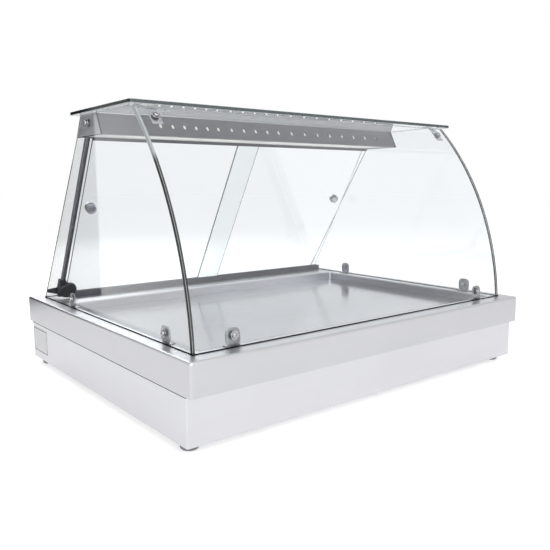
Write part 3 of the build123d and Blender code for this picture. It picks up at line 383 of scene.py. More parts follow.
# Opal-coated aluminium reflector with a painted glow standing in for the lamps' light on it: it shows white
# behind the vent holes
GLOWING_REFLECTOR = Finish("aluminium_reflector_painted_glow", "f2f0ea", "dedcd6", 0.3, 0.4, 30, 0.08, glow=0.9)
# Foil plate of matt aluminium, left bare: a flat pale grey
PLATE_FOIL = BrushedFinish("matt_aluminium_foil", "ececed", "dcdcde", 0.55, 0.2, 15, 0.08)
# Float glass, nearly free of colour: seen only by its reflections and edges
FLOAT_GLASS = GlassFinish("toughened_float_glass", "fafcfd", "fafcfd", 0.0, specular=0.17)
# The top pane, of coated float glass that mirrors less
TOP_GLASS = GlassFinish("coated_float_glass", "fafcfd", "fafcfd", 0.0, specular=0.004)
# The panes' polished edges, where the light has a long way through: dark grey with a cold tint
GLASS_EDGE = GlassFinish("polished_glass_edge", "15191a", "15191a", 0.12, weight=0.2, specular=0.25)
# The front corners' edges: the same, but pale near the top, where the light comes in from above
CORNER_EDGE = GlassFinish(
    "bonded_glass_edge", "0c0e0f", "b4b8ba", 0.12, weight=0.2, specular=0.25, pale_above_mm=412,
)
# The arrises ground off the edges, left matt: a hair-thin pale line beside the dark edge
ARRIS = Finish("ground_glass_arris", "b4b8ba", "a4a8aa", 0.5, 0.0, 20, 0.05)
# The doors' and the top glass's long edges, polished finer: a thin light-grey line
FINE_EDGE = GlassFinish("fine_glass_edge", "5c6466", "5c6466", 0.2, weight=0.5, specular=0.25)
# Satin-etched glass of the lens strip, lit from above: an even pale band
FROSTED = GlassFinish("satin_etched_glass", "eef0ee", "eef0ee", 0.45, glow=0.12, weight=0.8)
# Frosted glass of the lamp tubes, switched on: an even warm white
LAMP_TUBE = Finish("frosted_lamp_tube", "fffaf0", "fff6e6", 0.4, 0.0, 30, 0.05, glow=1.5)
# Injection-moulded nylon with a fine spark-eroded grain: a soft, dull black
BLACK_NYLON = Finish("moulded_black_nylon", "17171a", "222226", 0.42, 0.0, 8, 0.08, 0.05, 0.8)
# Polycarbonate of the dial and the rockers, moulded in a polished tool: glossy black
BLACK_GLOSS = Finish("moulded_black_polycarbonate", "121214", "1b1b1e", 0.22, 0.0, 10, 0.05)
# Grey rubber of the feet, slightly dusty
FOOT_RUBBER = Finish("moulded_grey_rubber", "7c7c80", "909094", 0.62, 0.0, 7, 0.1, 0.08, 1.0)
# Extruded rubber of the lead and its boot: dull black
CABLE_RUBBER = Finish("extruded_black_rubber", "1c1c1f", "28282b", 0.55, 0.0, 6, 0.08, 0.04, 1.0)
# Matt black strips of painted shade in the narrow gaps, which throw hardly any light back
SHADE_STRIP_BLACK = Finish("matt_black_painted_shade", "060607", "0c0c0e", 0.9, 0.0, 6, 0.05, specular=0.05)
# Moulded silicone of the glass buffers: cloudy, nearly white in so small a piece
SILICONE = Finish("clear_silicone", "d5d8d8", "c6caca", 0.35, 0.0, 5, 0.08)
# Pressed and glazed steatite of the lamp holders and the terminal block: cream with a glassy shine
STEATITE = Finish("glazed_steatite", "e6e3dc", "d8d4cb", 0.3, 0.0, 8, 0.06)
# Pressed mineral fibre board: pale, rough and chalky
MINERAL_BOARD = Finish("mineral_fibre_board", "cfc8b8", "bdb5a3", 0.9, 0.0, 5, 0.06, 0.4, 1.5)
# Drawn copper of the thermostat's bulb: dulled to a soft brown-red
COPPER = Finish("drawn_copper", "b87352", "9c6045", 0.3, 1.0, 10, 0.08)
# Pilot lamp lenses, moulded in tinted polycarbonate: deep, clear colours under a hard gloss
PILOT_LENS = Finish("amber_polycarbonate", "c8641e", "b4551a", 0.18, 0.0, 5, 0.04, coat=0.5)
GREEN_LENS = Finish("green_polycarbonate", "2f8f4e", "287c43", 0.18, 0.0, 5, 0.04, coat=0.5)
# Pad-printed ink of the figures and the plate's border: near-black, without gloss
PRINT_INK = Finish("pad_printed_ink", "2a2a2c", "343436", 0.5, 0.0, 5, 0.05)
# White paint that fills the dial's pointer
POINTER_INK = Finish("white_filled_pointer", "e8e8e6", "dcdcda", 0.45, 0.0, 3, 0.05)


def only(piece: Object) -> None:
    """Select one object alone and make it active, in object mode.

    Args:
        piece: The object.
    """
    if bpy.context.object and bpy.context.object.mode != "OBJECT":
        bpy.ops.object.mode_set(mode="OBJECT")
    bpy.ops.object.select_all(action="DESELECT")
    piece.select_set(True)
    bpy.context.view_layer.objects.active = piece


def settle(piece: Object) -> None:
    """Move a piece's place, turn and size into its mesh."""
    only(piece)
    bpy.ops.object.transform_apply(location=True, rotation=True, scale=True)


def start(
    name: str, add: Callable[..., object], scale: Vector | tuple[float, ...] = (1, 1, 1),
    **settings: object,
) -> Object:
    """Add a primitive with its place in its mesh, to be shaped further.

    Args:
        name: The piece's name.
        add: The operator that adds it.
        scale: Its size along X, Y and Z, as a share of the operator's.
        settings: What the operator is told.

    Returns:
        The piece.
    """
    bpy.ops.object.select_all(action="DESELECT")
    add(**settings)
    piece = bpy.context.object
    piece.name, piece.scale = name, scale
    settle(piece)
    return piece


def start_block(name: str, low: Vector, high: Vector) -> Object:
    """Start a piece from a block between its lowest and its highest corner."""
    return start(name, bpy.ops.mesh.primitive_cube_add, high - low, size=1, location=(low + high) / 2)


def start_sheet(
    name: str, size: tuple[float, float], middle: tuple[float, float, float], turn: float = 0.0,
) -> Object:
    """Start a piece from a flat sheet of two sides about its middle, turned about the X axis."""
    add = bpy.ops.mesh.primitive_plane_add
    return start(name, add, (*size, 1), size=1, location=middle, rotation=(turn, 0, 0))


def start_bar(name: str, radius: float, low: float, high: float, corners: int) -> Object:
    """Start a piece from a round bar on the Z axis, between two heights."""
    place, add = (0, 0, (low + high) / 2), bpy.ops.mesh.primitive_cylinder_add
    return start(name, add, vertices=corners, radius=radius, depth=high - low, location=place)


def round_edges(piece: Object, width: float, segments: int, sharper_than: float = 40.0) -> None:
    """Bevel a piece's sharp edges.

    Args:
        piece: The object.
        width: Width of the bevel.
        segments: Number of its facets.
        sharper_than: Angle between two faces, in degrees, from which their edge is bevelled.
    """
    only(piece)
    bevel = piece.modifiers.new("bevel", "BEVEL")
    bevel.width, bevel.segments = width, segments
    bevel.limit_method, bevel.angle_limit = "ANGLE", math.radians(sharper_than)
    bpy.ops.object.modifier_apply(modifier=bevel.name)


def finish_piece(piece: Object, *finishes: Finish, angle: float = 30.0) -> None:
    """Give a piece its finishes and shade it smooth.

    Args:
        piece: The object.
        finishes: Its finishes, in the order of its faces' material numbers.
        angle: Angle in degrees above which an edge stays sharp.
    """
    only(piece)
    for finish in finishes:
        piece.data.materials.append(finish.material())
    bpy.ops.object.shade_smooth_by_angle(angle=math.radians(angle))


def clear_selection(piece: Object, kind: str) -> None:
    """Deselect a piece's whole mesh, ready for elements of one kind to be selected.

    Args:
        piece: The object, which is left in object mode.
        kind: "EDGE" or "FACE".
    """
    only(piece)
    bpy.ops.object.mode_set(mode="EDIT")
    bpy.ops.mesh.select_mode(type=kind)
    bpy.ops.mesh.select_all(action="DESELECT")
    bpy.ops.object.mode_set(mode="OBJECT")


def select_faces(piece: Object, towards: Vector) -> None:
    """Go into edit mode with only the faces selected that look one way and lie farthest that way.

    Args:
        piece: The object.
        towards: The direction.
    """
    clear_selection(piece, "FACE")
    farthest = max(face.center.dot(towards) for face in piece.data.polygons)
    for face in piece.data.polygons:
        at_end = face.center.dot(towards) > farthest - SAME_LEVEL
        face.select = at_end and face.normal.dot(towards) > SAME_WAY
    bpy.ops.object.mode_set(mode="EDIT")


def push(way: Vector, grow: tuple[float, float, float] | None = None) -> None:
    """Extrude the selected faces, and scale their new ends if told to.

    Args:
        way: How far and in which direction.
        grow: Factors along X, Y and Z.
    """
    bpy.ops.mesh.extrude_region_move(TRANSFORM_OT_translate={"value": way})
    if grow:
        bpy.ops.transform.resize(value=grow)


def dress_node(node: str, finish: Finish) -> None:
    """Give a CAD node its finish.

    Args:
        node: The CAD node.
        finish: Its finish.
    """
    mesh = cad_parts[node].data
    mesh.materials.clear()
    mesh.materials.append(finish.material())
    log.info("node %s: %s", node, finish.name)


def place_piece(piece: Object, slot: str, *nodes: str, body: str = "case") -> None:
    """Let a finished piece ride on a body, in place of CAD nodes if it stands for any.

    Args:
        piece: The finished object, with its place in its mesh.
        slot: The record's material slot; not used.
        nodes: The CAD nodes that it stands for.
        body: The body that it moves with.
    """
    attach(piece, body)
    if nodes:
        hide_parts(*nodes)
    log.info("piece %s on %s", piece.name, body)


def copy_of_node(node: str, name: str) -> Object:
    """Copy a CAD node's mesh into a new object, with its triangles joined into flat faces.

    Args:
        node: The CAD node.
        name: The new object's name.

    Returns:
        The new object.
    """
    piece = bpy.data.objects.new(name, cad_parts[node].data.copy())
    bpy.context.scene.collection.objects.link(piece)
    piece.data.materials.clear()
    only(piece)
    bpy.ops.object.mode_set(mode="EDIT")
    bpy.ops.mesh.select_all(action="SELECT")
    bpy.ops.mesh.remove_doubles(threshold=SAME_POINT)
    bpy.ops.mesh.customdata_custom_splitnormals_clear()
    bpy.ops.mesh.dissolve_limited(angle_limit=math.radians(1))
    bpy.ops.object.mode_set(mode="OBJECT")
    return piece


def rounded_node(
    node: str, name: str, finish: Finish, slot: str, width: float, segments: int = 2, body: str = "case",
    shift: tuple[float, float, float] = (0.0, 0.0, 0.0),
) -> None:
    """Put a copy of a CAD node with rounded edges in the node's place.

    Args:
        node: The CAD node.
        name: The copy's name.
        finish: Its finish.
        slot: The record's material slot.
        width: Width of the rounded edges.
        segments: Number of their facets.
        body: The body that it moves with.
        shift: How far the copy stands from the node.
    """
    piece = copy_of_node(node, name)
    round_edges(piece, width, segments)
    piece.matrix_world = Matrix.Translation(shift)
    settle(piece)
    finish_piece(piece, finish)
    place_piece(piece, slot, node, body=body)


def place_copy(piece: Object, name: str, matrix: Matrix, slot: str, node: str) -> None:
    """Copy a piece with its own mesh, and put the copy in a CAD node's place.

    Args:
        piece: The modelled piece, about the origin.
        name: The copy's name.
        matrix: Where the copy goes.
        slot: The record's material slot.
        node: The CAD node that it stands for.
    """
    twin = bpy.data.objects.new(name, piece.data.copy())
    bpy.context.scene.collection.objects.link(twin)
    twin.matrix_world = matrix
    settle(twin)
    place_piece(twin, slot, node)


def facing(place: Vector, outward: Vector) -> Matrix:
    """Matrix that puts a part made on the XY plane at a place, with its +Z outward."""
    return Matrix.Translation(place) @ outward.to_track_quat("Z", "Y").to_matrix().to_4x4()


def standing(x: float, y: float, z: float) -> Matrix:
    """Matrix that stands flat work up at a place, to be read from behind the case."""
    return Matrix(((-1, 0, 0, x), (0, 0, 1, y), (0, 1, 0, z), (0, 0, 0, 1)))


def open_ring(name: str, low: Vector, high: Vector, width: float, corner: float) -> Object:
    """Make a rectangular ring of painted shade in matt black: a block with rounded upright edges, opened
    through its middle.

    Args:
        name: The ring's name.
        low: Its lowest corner.
        high: Its highest corner.
        width: How wide its four sides are.
        corner: Radius of its upright edges.

    Returns:
        The ring, with its place in its mesh.
    """
    ring = start_block(name, low, high)
    clear_selection(ring, "EDGE")
    points = ring.data.vertices
    for edge in ring.data.edges:
        first, second = (points[i].co for i in edge.vertices)
        edge.select = abs(first.z - second.z) > SAME_LEVEL
    bpy.ops.object.mode_set(mode="EDIT")
    bpy.ops.mesh.bevel(offset=corner, segments=4, affect="EDGES")
    clear_selection(ring, "FACE")
    for face in ring.data.polygons:
        face.select = abs(face.normal.z) > SAME_WAY
    bpy.ops.object.mode_set(mode="EDIT")
    bpy.ops.mesh.inset(thickness=width)
    bpy.ops.mesh.bridge_edge_loops()
    bpy.ops.mesh.select_all(action="SELECT")
    bpy.ops.mesh.normals_make_consistent(inside=False)
    # Matt black, as painted shade
    finish_piece(ring, SHADE_STRIP_BLACK)
    return ring


def socket_head(
    radius: float, low: float, high: float, dome: float, dome_steps: int, socket: float,
) -> Object:
    """Turn a screw head on the Z axis, with a domed top and a round socket.

    Args:
        radius: The head's radius.
        low: Height of its underside.
        high: Height of its top.
        dome: Radius of its top edge.
        dome_steps: Number of that edge's facets.
        socket: Depth of its socket.

    Returns:
        The head, without a finish.
    """
    corners, flat = 24, 0.0009
    head = start_bar("screw_head", radius, low, high, corners)
    select_faces(head, UP)
    bpy.ops.mesh.bevel(offset=dome, segments=dome_steps, affect="EDGES")
    select_faces(head, UP)
    bpy.ops.mesh.inset(thickness=flat)
    push(UP * -socket)
    return head


@dataclass
class Hood:
    """The glass hood with its brackets, clips and screws. All sizes are in metres."""

    half_width: float = 0.376
    glass: float = 0.006
    radius: float = 0.560
    foot_y: float = -0.3055
    foot_lean: float = math.radians(3.5)
    top: float = 0.498
    bend_steps: int = 48
    arris: float = 0.0004
    washer: float = 0.0012
    washer_radius: float = 0.0068
    screw_radius: float = 0.0045
    screw_head: float = 0.0026
    shank_radius: float = 0.0025
    shank: float = 0.0092
    bracket_z: float = 0.157
    clip_z: float = 0.479
    front_bracket_x: float = 0.304
    clip_x: float = 0.345
    side_seats: tuple[tuple[float, float], ...] = ((-0.222, 0.157), (0.148, 0.157), (0.036, 0.484))
    seal_rear: float = 0.299

    @property
    def centre(self) -> tuple[float, float]:
        """Centre (y, z) of the bent glass's circle."""
        return (
            self.foot_y + self.radius * math.cos(self.foot_lean),
            DECK - self.radius * math.sin(self.foot_lean),
        )

    def build(self) -> None:
        """Build the panes and their fittings."""
        self.bent_pane()
        for node in ("side_glass_left", "side_glass_right"):
            self.flat_pane(node, Vector((1, 0, 0)), CORNER_EDGE)
        self.flat_pane("top_glass", UP, FINE_EDGE, clear=TOP_GLASS)
        self.foot_seal()
        self.fittings()

    def mark_edges(
        self, pane: Object, normal: Vector | None, edge: Finish, clear: Finish = FLOAT_GLASS,
    ) -> None:
        """Finish a pane: its faces clear, its ground edges darker, and the arrises between them matt.

        Args:
            pane: The pane.
            normal: The flat pane's normal, or None for the bent pane.
            edge: The finish of its edges.
            clear: The finish of its faces.
        """
        faces, edges, arrises, dark_edges = range(4)
        flat, upright = 0.95, 0.3
        finish_piece(pane, clear, edge, ARRIS, GLASS_EDGE, angle=20)
        cy, cz = self.centre
        for face in pane.data.polygons:
            along = normal or Vector((0, face.center.y - cy, face.center.z - cz)).normalized()
            turned = abs(face.normal.dot(along))
            right_corner = edge is CORNER_EDGE and face.center.x > 0
            top_end = clear is TOP_GLASS and abs(face.normal.x) > 0.5
            on_edge = dark_edges if right_corner or top_end else edges
            face.material_index = faces if turned > flat else on_edge if turned < upright else arrises

    def bent_pane(self) -> None:
        """Spin a radial strip about the bend's axis into the bent front pane."""
        cy, cz = self.centre
        middle = self.radius - self.glass / 2
        sweep = math.asin((self.top - cz) / self.radius) - self.foot_lean
        foot = (0, cy - middle * math.cos(self.foot_lean), cz + middle * math.sin(self.foot_lean))
        pane = start_sheet("bent_front_pane", (2 * self.half_width, self.glass), foot, -self.foot_lean)
        bpy.ops.object.mode_set(mode="EDIT")
        bpy.ops.mesh.select_all(action="SELECT")
        bpy.ops.mesh.spin(steps=self.bend_steps, angle=sweep, center=(0, cy, cz), axis=(1, 0, 0))
        bpy.ops.mesh.select_all(action="SELECT")
        bpy.ops.mesh.remove_doubles(threshold=SAME_POINT)
        bpy.ops.mesh.normals_make_consistent(inside=False)
        round_edges(pane, self.arris, 1, 60)
        self.mark_edges(pane, None, CORNER_EDGE)
        place_piece(pane, "clear_glass", "front_glass")

    def flat_pane(
        self, node: str, normal: Vector, edge: Finish, body: str = "case", clear: Finish = FLOAT_GLASS,
    ) -> None:
        """Copy a flat pane from its node and grind its edges.

        Args:
            node: The CAD node.
            normal: The pane's normal.
            edge: The finish of its edges.
            body: The body that it moves with.
            clear: The finish of its faces.
        """
        pane = copy_of_node(node, f"{node}_pane")
        round_edges(pane, self.arris, 1, 60)
        self.mark_edges(pane, normal, edge, clear)
        place_piece(pane, "clear_glass", node, body=body)

    def foot_seal(self) -> None:
        """Lay a thin black strip of painted shade on the deck round the outer feet of the front and side
        panes.
        """
        height, width = 0.0014, 0.0010
        half = self.half_width + width
        # Painted shade: the dark line along the glass foot
        shade_strip = open_ring(
            "glass_foot_shade_strip", Vector((-half, self.foot_y - width, DECK)),
            Vector((half, self.seal_rear, DECK + height)), width, 0.0004,
        )
        place_piece(shade_strip, "black_rubber")

    def seat(self, x: float, z: float) -> tuple[Vector, Vector]:
        """Find a screw's seat on the bent pane's outer face.

        Args:
            x: Where the screw is along the pane.
            z: Its height at the pane's inner face.

        Returns:
            The seat and its outward direction.
        """
        cy, cz = self.centre
        inner = self.radius - self.glass
        lean = math.asin((z - cz) / inner)
        outward = Vector((0, -math.cos(lean), math.sin(lean)))
        inside = Vector((x, cy - inner * math.cos(lean), z))
        return inside + outward * self.glass, outward

    def fittings(self) -> None:
        """Model one screw and one washer and copy them to all seats, then dress the brackets."""
        seats = [self.seat(side * self.front_bracket_x, self.bracket_z) for side in (-1, 1)]
        seats += [self.seat(side * self.clip_x, self.clip_z) for side in (-1, 1)]
        for side in (-1, 1):
            for y, z in self.side_seats:
                seats.append((Vector((side * self.half_width, y, z)), Vector((side, 0, 0))))
        screw, washer = self.screw(), self.washer_disc()
        for number, (place, outward) in enumerate(seats, 1):
            seat = facing(place, outward)
            place_copy(screw, f"dome_screw_{number}", seat, "polished_steel", "glass_screws")
            place_copy(washer, f"cup_washer_{number}", seat, "clear_plastic", "glass_washers")
        for made in (screw, washer):
            bpy.data.objects.remove(made)
        for node, finish in (
            ("side_brackets", TAB_STEEL), ("front_brackets", TAB_STEEL),
            ("top_clip_left", BRIGHT_STEEL), ("top_clip_right", BRIGHT_STEEL),
        ):
            rounded_node(node, f"{node}_pressed", finish, "polished_steel", 0.0004)
        dress_node("glass_nuts", BRIGHT_STEEL)
        dress_node("glass_buffers", SILICONE)

    def screw(self) -> Object:
        """Turn a domed screw head with a socket, and its shank.

        Returns:
            The screw about the origin, with +Z outward.
        """
        head = socket_head(
            self.screw_radius, self.washer, self.washer + self.screw_head,
            dome=0.0016, dome_steps=4, socket=0.0012,
        )
        select_faces(head, -UP)
        bpy.ops.mesh.inset(thickness=self.screw_radius - self.shank_radius)
        push(UP * -self.shank)
        finish_piece(head, BRIGHT_STEEL)
        return head

    def washer_disc(self) -> Object:
        """Turn a cup washer, dished towards its rim.

        Returns:
            The washer about the origin, with +Z outward.
        """
        lip, dish, shoulder = 0.0009, 0.0003, 0.0012
        disc = start_bar("cup_washer", self.washer_radius, 0, self.washer, 32)
        select_faces(disc, UP)
        bpy.ops.mesh.inset(thickness=lip)
        push(UP * -dish)
        bpy.ops.mesh.inset(thickness=shoulder)
        finish_piece(disc, BRIGHT_STEEL)
        return disc


@dataclass
class Doors:
    """The two sliding doors with their knobs, and their tracks."""

    hood: Hood
    lean: float = math.radians(30)
    foot_y: float = 0.272
    spacing: float = 0.0104
    glass: float = 0.004
    knob_slope: float = 0.226
    knob_radius: float = 0.011
    stem_radius: float = 0.004
    open_height: float = 0.008
    tight_height: float = 0.005
    places: tuple[tuple[str, int, float], ...] = (("left_door", 1, -0.323), ("right_door", -1, 0.3385))

    @property
    def inward(self) -> Vector:
        """Direction from the doors' plane into the case."""
        return Vector((0, -math.cos(self.lean), -math.sin(self.lean)))

    def build(self) -> None:
        """Build both doors, the left one in the inner row, and dress the tracks."""
        up = Vector((0, -math.sin(self.lean), math.cos(self.lean)))
        for body, row, x in self.places:
            self.hood.flat_pane(f"{body}_glass", self.inward, FINE_EDGE, body)
            face = self.inward * (row * self.spacing / 2)
            middle = Vector((x, self.foot_y, DECK)) + up * self.knob_slope + face
            knob = self.knob(f"{body}_finger_knob", row)
            knob.matrix_world = facing(middle, self.inward)
            settle(knob)
            place_piece(knob, "polished_steel", f"{body}_knob", body=body)
        for node in ("bottom_track", "top_track"):
            dress_node(node, ANODISED)

    def knob(self, name: str, row: int) -> Object:
        """Turn a finger knob: dished buttons on a stem through the glass, lower towards the other door.

        Args:
            name: The knob's name.
            row: 1 where the open side is the inside, -1 where it is the outside.

        Returns:
            The knob about the origin, with +Z to the inside.
        """
        clearance, lip, dish = 0.0001, 0.0016, 0.0012
        knob = start_bar(name, self.stem_radius, -self.glass, self.glass, 40)
        for way in (-1, 1):
            height = self.open_height if way == row else self.tight_height
            towards = UP * way
            select_faces(knob, towards)
            bpy.ops.transform.translate(value=towards * (clearance - self.glass / 2))
            for run, grow in ((0.0, self.knob_radius / self.stem_radius), (0.35, 0.93), (0.65, 0.9)):
                push(towards * (height * run), (grow, grow, 1))
            bpy.ops.mesh.inset(thickness=lip)
            push(towards * -dish, (0.8, 0.8, 1))
        round_edges(knob, 0.0005, 3, 25)
        finish_piece(knob, BRIGHT_STEEL, angle=40)
        return knob


@dataclass
class Base:
    """The casing, deck, hot plate, feet and everything inside the base."""

    plate_low: Vector = field(default_factory=lambda: Vector((-0.3996, 0.232, 0.0285)))
    plate_high: Vector = field(default_factory=lambda: Vector((-0.3990, 0.310, 0.0785)))
    gasket_low: Vector = field(default_factory=lambda: Vector((-0.3994, -0.3234, 0.0864)))
    gasket_high: Vector = field(default_factory=lambda: Vector((0.3994, 0.3189, 0.088)))
    plain: dict[str, Finish] = field(default_factory=lambda: {
        "lower_casing": SHEET_STEEL, "deck_pan": DECK_STEEL, "hot_plate": HOT_PLATE_STEEL,
        "heating_element_left": ELEMENT_SHEATH, "heating_element_right": ELEMENT_SHEATH,
        "element_straps": GALVANISED, "insulation_board": MINERAL_BOARD,
        "heat_shield_tray": GALVANISED, "bottom_plate": GALVANISED, "base_screws": BRIGHT_STEEL,
        "foot_front_left": FOOT_RUBBER, "foot_front_right": FOOT_RUBBER,
        "foot_rear_left": FOOT_RUBBER, "foot_rear_right": FOOT_RUBBER,
        "terminal_block": STEATITE, "thermal_cutout": STEATITE, "thermostat_bulb": COPPER,
    })

    def build(self) -> None:
        """Dress the base's nodes and add its strip of painted shade under the rim and its bare plate."""
        for node, finish in self.plain.items():
            dress_node(node, finish)
        self.rim_gasket()
        self.bare_plate()

    def bare_plate(self) -> None:
        """Emboss the bare foil plate: a raised field inside a dark printed border."""
        margin, border, lift = 0.0010, 0.0014, 0.0002
        field_share, border_share = 0.1, 0.965
        middle, half = (self.plate_low + self.plate_high) / 2, (self.plate_high - self.plate_low) / 2
        plate = start_block("bare_foil_plate", self.plate_low, self.plate_high)
        select_faces(plate, Vector((-1, 0, 0)))
        bpy.ops.mesh.inset(thickness=margin, depth=lift)
        bpy.ops.mesh.inset(thickness=border)
        finish_piece(plate, PLATE_FOIL, PRINT_INK)
        for face in plate.data.polygons:
            off = face.center - middle
            share = max(abs(off.y) / half.y, abs(off.z) / half.z)
            face.material_index = int(face.normal.x < -0.99 and field_share < share < border_share)
        place_piece(plate, "aluminium", "rating_plate")

    def rim_gasket(self) -> None:
        """Run a thin black strip of painted shade round the casing's top edge, under the rim."""
        # Painted shade: the dark gap line under the rim
        rim_strip = open_ring("rim_gasket", self.gasket_low, self.gasket_high, 0.0012, 0.003)
        place_piece(rim_strip, "black_rubber")


@dataclass
class LampHousing:
    """The lamp housing with its lamps, and the conduit that brings the lead up to it."""

    cap_gap: float = 0.0002
    seal_x: float = 0.36775
    seal_width: float = 0.0035
    lamp_x: float = 0.165
    lamp_y: float = 0.028
    lamp_z: float = 0.474
    lamp_half: float = 0.150
    lamp_radius: float = 0.006
    lamp_cap: float = 0.012
    plain: dict[str, Finish] = field(default_factory=lambda: {
        "housing_cover": SHADED_HOUSING_STEEL, "lamp_reflector": GLOWING_REFLECTOR, "lamp_holders": STEATITE,
        "lamp_lens": FROSTED, "lamp_lead": CABLE_RUBBER, "lamp_conduit": TUBE_STEEL,
        "cable_boot": CABLE_RUBBER,
    })

    def build(self) -> None:
        """Dress the housing's nodes, fill its end gaps with painted shade and put in its lamps."""
        for node, finish in self.plain.items():
            dress_node(node, finish)
        tube = self.tube()
        for side, name in ((-1, "left"), (1, "right")):
            self.end_seal(side, name)
            place = Matrix.Translation((side * self.lamp_x, self.lamp_y, self.lamp_z))
            place_copy(tube, f"lamp_tube_{name}", place, "frosted_glass", f"lamp_{name}")
            # Off the side glass by a hair: light caught between touching faces would turn the cap black
            rounded_node(
                f"housing_cap_{name}", f"folded_end_cap_{name}", CAP_STEEL, "brushed_steel", 0.0002,
                shift=(-side * self.cap_gap, 0, 0),
            )
        bpy.data.objects.remove(tube)
        rounded_node("conduit_foot", "conduit_foot_moulded", BLACK_NYLON, "black_plastic", 0.0005)

    def tube(self) -> Object:
        """Draw a frosted lamp tube along X with a metal cap and a contact stud at each end.

        Returns:
            The lamp about the origin.
        """
        wall, stud = 0.0004, 0.0024
        glass_radius, glass_half = self.lamp_radius - wall, self.lamp_half - self.lamp_cap
        tube = start_bar("lamp_tube", glass_radius, -glass_half, glass_half, 36)
        tube.matrix_world = Matrix.Rotation(math.pi / 2, 4, "Y")
        settle(tube)
        cap_steps = ((0.0, self.lamp_radius / glass_radius), (0.7, 1.0), (0.1, 0.82), (0.0, 0.5))
        for way in (-1, 1):
            end = Vector((way, 0, 0))
            select_faces(tube, end)
            for run, grow in cap_steps:
                push(end * (self.lamp_cap * run), (1, grow, grow))
            push(end * stud)
        finish_piece(tube, LAMP_TUBE, BRIGHT_STEEL)
        for face in tube.data.polygons:
            face.material_index = int(abs(face.center.x) > glass_half - 0.0001)
        return tube

    def end_seal(self, side: int, name: str) -> None:
        """Fill the gap between the cover and an end cap with a black strip of the housing's section:
        painted shade in the gap.

        Args:
            side: -1 for the left end, 1 for the right.
            name: The end's name.
        """
        low, high, front, rear = 0.4615, 0.4988, -0.0184, 0.0991
        top_front, top_rear = -0.0003, 0.078
        middle, half = side * self.seal_x, self.seal_width / 2
        first, last = Vector((middle - half, front, low)), Vector((middle + half, rear, high))
        shade_strip = start_block(f"housing_end_shade_strip_{name}", first, last)
        select_faces(shade_strip, UP)
        bpy.ops.transform.resize(value=(1, (top_rear - top_front) / (rear - front), 1))
        bpy.ops.transform.translate(value=(0, (top_rear + top_front - rear - front) / 2, 0))
        round_edges(shade_strip, 0.0003, 2)
        # Matt black, as painted shade in the gap
        finish_piece(shade_strip, SHADE_STRIP_BLACK)
        place_piece(shade_strip, "black_rubber")


@dataclass
class Controls:
    """The control panel with its dial, switches, pilot lamps and gland."""

    face: float = 0.320
    dial: tuple[float, float] = (-0.245, 0.050)
    grip_y: float = 0.3326
    pointer_rise: float = 0.0085
    mark_radius: float = 0.0235
    marks: int = 6
    turn: float = math.radians(300)
    figure_size: float = 0.0046
    between_lamps: float = -0.13
    screw_radius: float = 0.003
    screw_head: float = 0.0013
    screw_xs: tuple[float, float] = (-0.2835, -0.0565)
    screw_zs: tuple[float, float] = (0.0295, 0.0705)
    plain: dict[str, Finish] = field(default_factory=lambda: {
        "control_panel": CAP_STEEL, "thermostat_body": GALVANISED, "thermostat_spindle": BRIGHT_STEEL,
        "heat_switch_body": BLACK_NYLON, "lamp_switch_body": BLACK_NYLON,
    })
    rounded: tuple[tuple[str, str, Finish, float], ...] = (
        ("thermostat_knob", "thermostat_dial", BLACK_GLOSS, 0.0007),
        ("heat_switch_rocker", "heat_rocker", BLACK_GLOSS, 0.0005),
        ("lamp_switch_rocker", "lamp_rocker", BLACK_GLOSS, 0.0005),
        ("mains_gland", "case", BLACK_NYLON, 0.0004),
        ("gland_locknut", "case", BLACK_NYLON, 0.0004),
    )

    def build(self) -> None:
        """Dress the panel's nodes and model its dial, lenses and screws."""
        for node, finish in self.plain.items():
            dress_node(node, finish)
        for node, body, finish, radius in self.rounded:
            rounded_node(node, f"{node}_moulded", finish, "black_plastic", radius, 3, body)
        self.pointer()
        self.numbers()
        self.lenses()
        self.screws()

    def pointer(self) -> None:
        """Fill the groove on the dial's grip with a white bar."""
        width, length, height = 0.0014, 0.010, 0.0003
        half = Vector((width, length, height)) / 2
        bar = start_block("dial_pointer", -half, half)
        select_faces(bar, UP)
        bpy.ops.mesh.inset(thickness=height)
        bar.matrix_world = standing(self.dial[0], self.grip_y, self.dial[1] + self.pointer_rise)
        settle(bar)
        finish_piece(bar, POINTER_INK)
        place_piece(bar, "white_plastic", body="thermostat_dial")

    def numbers(self) -> None:
        """Print plain numbers on the panel, evenly round the dial's turn."""
        ink, lift = 0.00004, 0.00005
        for mark in range(self.marks):
            turn = mark * self.turn / (self.marks - 1)
            bpy.ops.object.select_all(action="DESELECT")
            bpy.ops.object.text_add()
            figure = bpy.context.object
            figure.data.body = str(mark)
            figure.data.size, figure.data.extrude = self.figure_size, ink
            figure.data.align_x, figure.data.align_y = "CENTER", "CENTER"
            bpy.ops.object.convert(target="MESH")
            figure.name = f"dial_number_{mark}"
            figure.matrix_world = standing(
                self.dial[0] - math.sin(turn) * self.mark_radius, self.face + lift,
                self.dial[1] + math.cos(turn) * self.mark_radius,
            )
            settle(figure)
            figure.data.materials.append(PRINT_INK.material())
            place_piece(figure, "black_plastic")

    def lenses(self) -> None:
        """Round off the pilot lamps' lenses, amber for the heat and green for the mains."""
        lens = copy_of_node("pilot_lamps", "pilot_lenses")
        round_edges(lens, 0.0006, 3)
        finish_piece(lens, PILOT_LENS, GREEN_LENS)
        for face in lens.data.polygons:
            face.material_index = int(face.center.x > self.between_lamps)
        place_piece(lens, "clear_plastic", "pilot_lamps")

    def screws(self) -> None:
        """Turn a pan-head screw and copy it to the panel's corners."""
        head = socket_head(self.screw_radius, 0, self.screw_head, dome=0.0007, dome_steps=3, socket=0.0008)
        finish_piece(head, BRIGHT_STEEL)
        places = [(x, z) for z in self.screw_zs for x in self.screw_xs]
        for number, (x, z) in enumerate(places, 1):
            place = standing(x, self.face, z)
            place_copy(head, f"panel_screw_{number}", place, "polished_steel", "panel_screws")
        bpy.data.objects.remove(head)


